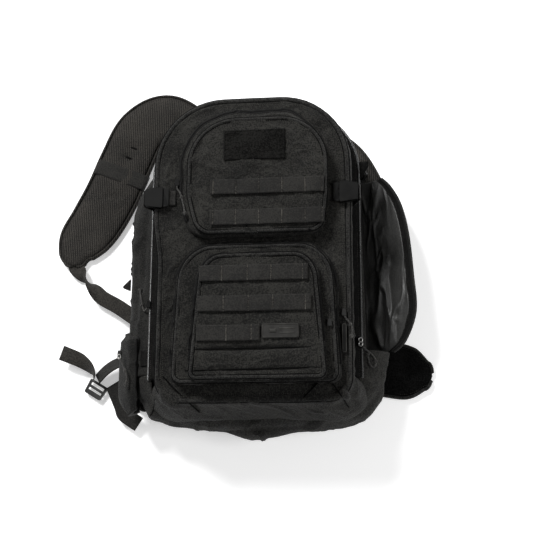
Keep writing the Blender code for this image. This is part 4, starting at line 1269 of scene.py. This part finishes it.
def inflate(obj, voxel=5.0, cap=1.3, pressure=4.0):
    """Give the pad's skin a slight swell by running it as cloth under air pressure."""
    scene = bpy.context.scene
    skin = obj.modifiers.new("skin", "REMESH")
    skin.mode = "VOXEL"
    skin.voxel_size = voxel * MM
    skin.use_smooth_shade = True
    graph = bpy.context.evaluated_depsgraph_get()
    fresh = bpy.data.meshes.new_from_object(obj.evaluated_get(graph))
    obj.modifiers.clear()
    mats = list(obj.data.materials)
    obj.data = fresh
    obj.data.materials.clear()
    for mat in mats:
        obj.data.materials.append(mat)
    start = np.array([v.co[:] for v in fresh.vertices])
    cloth = obj.modifiers.new("cloth", "CLOTH")
    cloth.settings.use_pressure = True
    cloth.settings.uniform_pressure_force = pressure
    cloth.settings.effector_weights.gravity = 0
    cloth.settings.quality = 4
    cloth.settings.mass = 0.3
    for step in range(1, 19):
        scene.frame_set(step)
    shown = obj.evaluated_get(bpy.context.evaluated_depsgraph_get()).to_mesh()
    swelled = np.array([v.co[:] for v in shown.vertices])
    obj.modifiers.clear()
    scene.frame_set(1)
    move = (swelled - start) * [0.1, 0.1, 1.0]
    far = np.linalg.norm(move, axis=1)
    move *= np.minimum(1, cap * MM / np.maximum(far, 1e-9))[:, None]
    final = start + move
    final[:, 2] = np.clip(final[:, 2], 0.0004, None)
    fresh.vertices.foreach_set("co", final.ravel())
    fresh.polygons.foreach_set("use_smooth", [True] * len(fresh.polygons))
    fresh.update()
    finer = obj.modifiers.new("finer", "SUBSURF")
    finer.levels = finer.render_levels = 1


def back_pads():
    for node, r_top, r_low in (("upper_back_pad", 22, 22), ("middle_back_pad", 20, 20),
                               ("lumbar_pad", 26, 40)):
        lo, hi = box(node)
        outline = arch(lo, hi, r_top, r_low, 4)
        P = panel_points(outline, 3.0, 15.9, 0.0, 12, 7.0, belly=3.0)
        P[..., 2] = np.clip(P[..., 2], 0.0, 16.2)
        obj = grid(f"{node}_foam", P, MAT["mesh"], "back_shell", wrap_v=True,
                   replaces=(node,))
        inflate(obj)
    lo, hi = box("harness_yoke")
    yoke = fillet([(96, 200), (84, 254), (-72, 254), (-98, 200)], (10, 14, 14, 10))
    P = panel_points(resample(yoke, 4, closed=True), lo[2], hi[2], 0.0, 10, 1.0)
    grid("harness_yoke_cloth", P, MAT["nylon"], "back_shell", wrap_v=True,
         replaces=("harness_yoke",))


def left_strap():
    spine = ((-70.0, 232.0, 60.0), (-114.0, 262.0, 78.0), (-176.0, 299.0, 90.0), (-224.0, 277.0, 96.0),
             (-252.0, 220.0, 98.0), (-275.0, 160.0, 100.0), (-303.0, 106.0, 98.0), (-327.0, 72.0, 88.0),
             (-338.0, 48.0, 66.0), (-340.0, 32.0, 40.0))
    slots = (((-250, 248), (-226, 238)), ((-258, 230), (-235, 219)), ((-286, 157), (-263, 146)))
    dents = [(a, b, 5.5, -4.0) for a, b in slots] + [((-164, 300), (-122, 248), 8.0, -6.0),
                                                     ((-150, 310), (-104, 262), 7.0, 4.0)]
    pad("left_shoulder_pad", spine, "left_strap", "left_shoulder_strap", MAT["mesh"], seed=91, dents=dents)
    # A dark tube sunk into each slot's dent: painted shade inside the slot.
    for a, b in slots:
        a, b = np.array([*a, 12.9]), np.array([*b, 12.9])
        hollow = resample(np.array([a - [0, 0, 1.2], b - [0, 0, 1.2]]), 2.0)
        tube(f"left_strap_slot_{round(-a[0])}", hollow, 3.6, MAT["seam"], "left_strap", 10,
             squash=0.5)
    centre, reach = np.array([-329.0, 78.0]), 15.0
    diamond = centre + reach * np.array([(0, 1), (-1, 0.1), (0, -1), (1, -0.1)])
    patch = panel_points(resample(diamond, 1.5, closed=True), 12.4, 14.6, 0.3, 6, 0.8)
    grid("left_strap_diamond", patch, MAT["padcloth"], "left_strap", wrap_v=True)
    inner = centre + (reach - 3) * np.array([(0, 1), (-1, 0.1), (0, -1), (1, -0.1)])
    stitch("left_strap", np.column_stack([inner, np.full(4, 15.1)]), 2.8, 1.9, closed=True,
           tone="dark_thread")
    for a, b in ((0, 2), (1, 3)):
        line = np.array([[*inner[a], 15.2], [*centre, 15.2], [*inner[b], 15.2]])
        stitch("left_strap", line, 2.8, 1.9, tone="dark_thread")
    run = np.array([(-265.0, 180.0), (-254.5, 206.0)])
    across = np.array([0.93, -0.37])
    rows = []
    for s in np.linspace(0, 1, 9):
        c = run[0] + (run[1] - run[0]) * s
        half = 49.5 - 0.5 * abs(2 * s - 1)
        crowned = [(v, 14.6 + 1.0 * (1 - (v / half) ** 2))
                   for v in np.linspace(-half + 1.5, half - 1.5, 15)]
        marks = [(-half - 1.5, 7.0),
                 (-half - 1.0, 12.0)] + crowned + [(half + 1.0, 12.0), (half + 1.5, 7.0)]
        outer = [(c[0] + across[0] * u, c[1] + across[1] * u, z) for u, z in marks]
        under = [(c[0] + across[0] * u * 0.985, c[1] + across[1] * u * 0.985, z - 1.5) for u,
                 z in marks[::-1]]
        rows.append(outer + under)
    grid("left_strap_keeper", np.array(rows), MAT["webbing"], "left_strap", wrap_v=True,
         replaces=("left_strap_band",))
    flat = (-0.54, -0.84, 0.0)
    route = [((-339.5, 36, 6.5), (1, 0, 0)), ((-339.0, 28.5, 7), (1, 0, 0)), ((-337, 21, 8), (1, 0.1, 0)),
             ((-326, 10, 12), (0.85, 0.4, 0.35)), ((-314, -4, 15), (0.15, 0.1, 0.98)),
             ((-306, -13, 16), (-0.3, -0.45, 0.85)), ((-297, -23, 15), (-0.5, -0.7, 0.4)),
             ((-284, -36, 14.5), flat), ((-256, -52, 15), flat), ((-228, -71, 19), flat),
             ((-200, -90, 25), flat)]
    obj = webbing("left_strap_lower_webbing", route, None, MAT["worn_webbing"],
                  replaces=("left_strap_webbing",), per=10)
    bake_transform(obj)


def right_strap():
    spine = ((68.0, 236.0, 66.0), (106.0, 230.0, 76.0), (142.0, 203.0, 80.0), (166.0, 160.0, 84.0),
             (184.0, 104.0, 88.0), (196.0, 40.0, 90.0), (200.0, -22.0, 84.0), (200.0, -66.0, 60.0))
    pad("right_shoulder_pad", spine, "right_strap", "right_shoulder_strap", MAT["mesh"], seed=95)


def hips():
    left = ((-135.0, -156.0, 92.0), (-164.0, -170.0, 92.0), (-196.0, -190.0, 84.0), (-218.0, -206.0, 66.0))
    right = ((124.0, -153.0, 92.0), (165.0, -158.0, 94.0), (215.0, -168.0, 92.0), (252.0, -176.0, 84.0),
             (276.0, -180.0, 48.0))
    pad("left_hip_pad", left, "left_hip", "left_hip_wing", MAT["velour"], seed=97, crown=0.4)
    pad("right_hip_pad", right, "right_hip", "right_hip_wing", MAT["velour"], seed=99, crown=0.8, amp=1.6,
        dents=[((238, -140), (246, -205), 6, -3.0)])
    steep, low = (0.9, 0.43, 0), (0.5, 0.86, 0)
    route = [((-261, -189, 12.2), steep), ((-256.5, -197, 12.4), steep), ((-243, -226, 14), steep),
             ((-238, -239, 15), (0.7, 0.7, 0)), ((-228, -247, 15.4), low), ((-211, -258, 15.4), low)]
    webbing("hip_anchor_strap", route, "left_hip", MAT["webbing"], replaces=("hip_anchor_webbing",))
    tail = [((-294, -178, 14), (0.25, 0.1, 0.96)), ((-295, -170, 17), (0.35, 0.25, 0.9)),
            ((-303, -158, 21), (0.5, 0.55, 0.67)), ((-318, -147, 23), (0.4, 0.85, 0.35)),
            ((-337, -139, 23), (0.35, 0.9, 0.2)), ((-352, -133, 20), (0.35, 0.92, 0.1))]
    webbing("hip_strap_tail", tail, "left_hip", MAT["worn_webbing"], replaces=("hip_webbing_tail",))
    edge = (0.5, -0.62, 0.6)
    side = [((-286, -180, 18), edge), ((-270, -165, 22), edge), ((-250, -154, 26), edge),
            ((-228, -149, 27), edge)]
    webbing("hip_side_strap", side, "left_hip", MAT["webbing"], replaces=("hip_side_webbing",))


def handle():
    pts = [(-52, 270.6, 25.0), (-48, 283, 25), (-30, 293, 25), (0, 297, 25), (30, 293, 25), (48, 283, 25),
           (52, 270.6, 25.0)]
    run = resample(smooth_run(pts, 6), 3.0)
    tube("grab_handle_webbing", run, 3.0, MAT["webbing"], "handle", 12,
         replaces=("grab_handle",), squash=2.4)


def slider_details():
    """Worn figure-of-eight puller on the right main zip and the pale rim of the rubber tag."""
    lo, hi = box("main_slider_right")
    c = (lo + hi) / 2
    for k, dy in enumerate((-3.4, 3.4)):
        a = np.linspace(0, TAU, 25)[:-1]
        ring = np.stack([c[0] + 3.0 * np.cos(a), c[1] + dy + 3.2 * np.sin(a), np.full(24, hi[2] + 0.6)], 1)
        tube(f"main_slider_ring_{k + 1}", ring, 0.9, MAT["bright"], "main_zip_right", 8, wrap=True)
    lo, hi = box("rubber_pull_tag")
    rim = resample(fillet([(hi[0] - 1, lo[1] + 1), (hi[0] - 1, hi[1] - 1), (lo[0] + 1, hi[1] - 1),
                           (lo[0] + 1, lo[1] + 1)], (1.5,) * 4), 1.5, closed=True)
    tube("rubber_tag_rim", level(rim, hi[2] + 0.1), 0.6, MAT["rubber_rim"],
         "lower_zip", 8, wrap=True)
    lo, hi = box("side_pouch_slider")
    c = (lo + hi) / 2
    a = np.linspace(0, TAU, 25)[:-1]
    ring = np.stack([c[0] + 2.6 * np.cos(a), c[1] - 5 + 3.6 * np.sin(a), np.full(24, hi[2] + 0.6)], 1)
    tube("side_slider_ring", ring, 0.9, MAT["bright"], "side_zip", 8, wrap=True)


# ---------------------------------------------------------------- light and floor
def floor_and_light():
    mat, _, shader = node_tree("floor_paper", (0.93, 0.93, 0.93), 0.9, specular=0.1)
    shader.inputs["Emission Color"].default_value = (1, 1, 1, 1)
    shader.inputs["Emission Strength"].default_value = 0.4
    mesh = bpy.data.meshes.new("floor")
    mesh.from_pydata([(-6, -6, -0.0005), (6, -6, -0.0005), (6, 6, -0.0005), (-6, 6, -0.0005)], [],
                     [(0, 1, 2, 3)])
    mesh.materials.append(mat)
    floor = bpy.data.objects.new("floor", mesh)
    bpy.context.scene.collection.objects.link(floor)
    world = bpy.data.worlds.new("studio")
    world.use_nodes = True
    world.node_tree.nodes["Background"].inputs[0].default_value = (1, 1, 1, 1)
    world.node_tree.nodes["Background"].inputs[1].default_value = 0.2
    bpy.context.scene.world = world
    for name, where, size, power in (("key", (-1.6, 2.5, 3.2), 1.1, 235),
                                     ("fill", (2.5, -0.7, 2.8), 1.6, 62)):
        data = bpy.data.lights.new(name, "AREA")
        data.size = size
        data.energy = power
        lamp = bpy.data.objects.new(name, data)
        lamp.location = where
        lamp.rotation_euler = (Vector((0, 0, 0.1)) - Vector(where)).to_track_quat("-Z", "Y").to_euler()
        bpy.context.scene.collection.objects.link(lamp)
    settings = bpy.context.scene.view_settings
    settings.view_transform = "Standard"
    settings.look = "None"
    settings.exposure = 0.0


rear_shell()
main_zip()
zip_end_tab()
side_pouch()
front_section()
hinge_cloth()
right_rim_cloth()
upper_pocket()
lower_pocket()
buckle_webbing()
right_flap()
back_pads()
left_strap()
right_strap()
hips()
handle()
slider_details()
flush_threads()
floor_and_light()
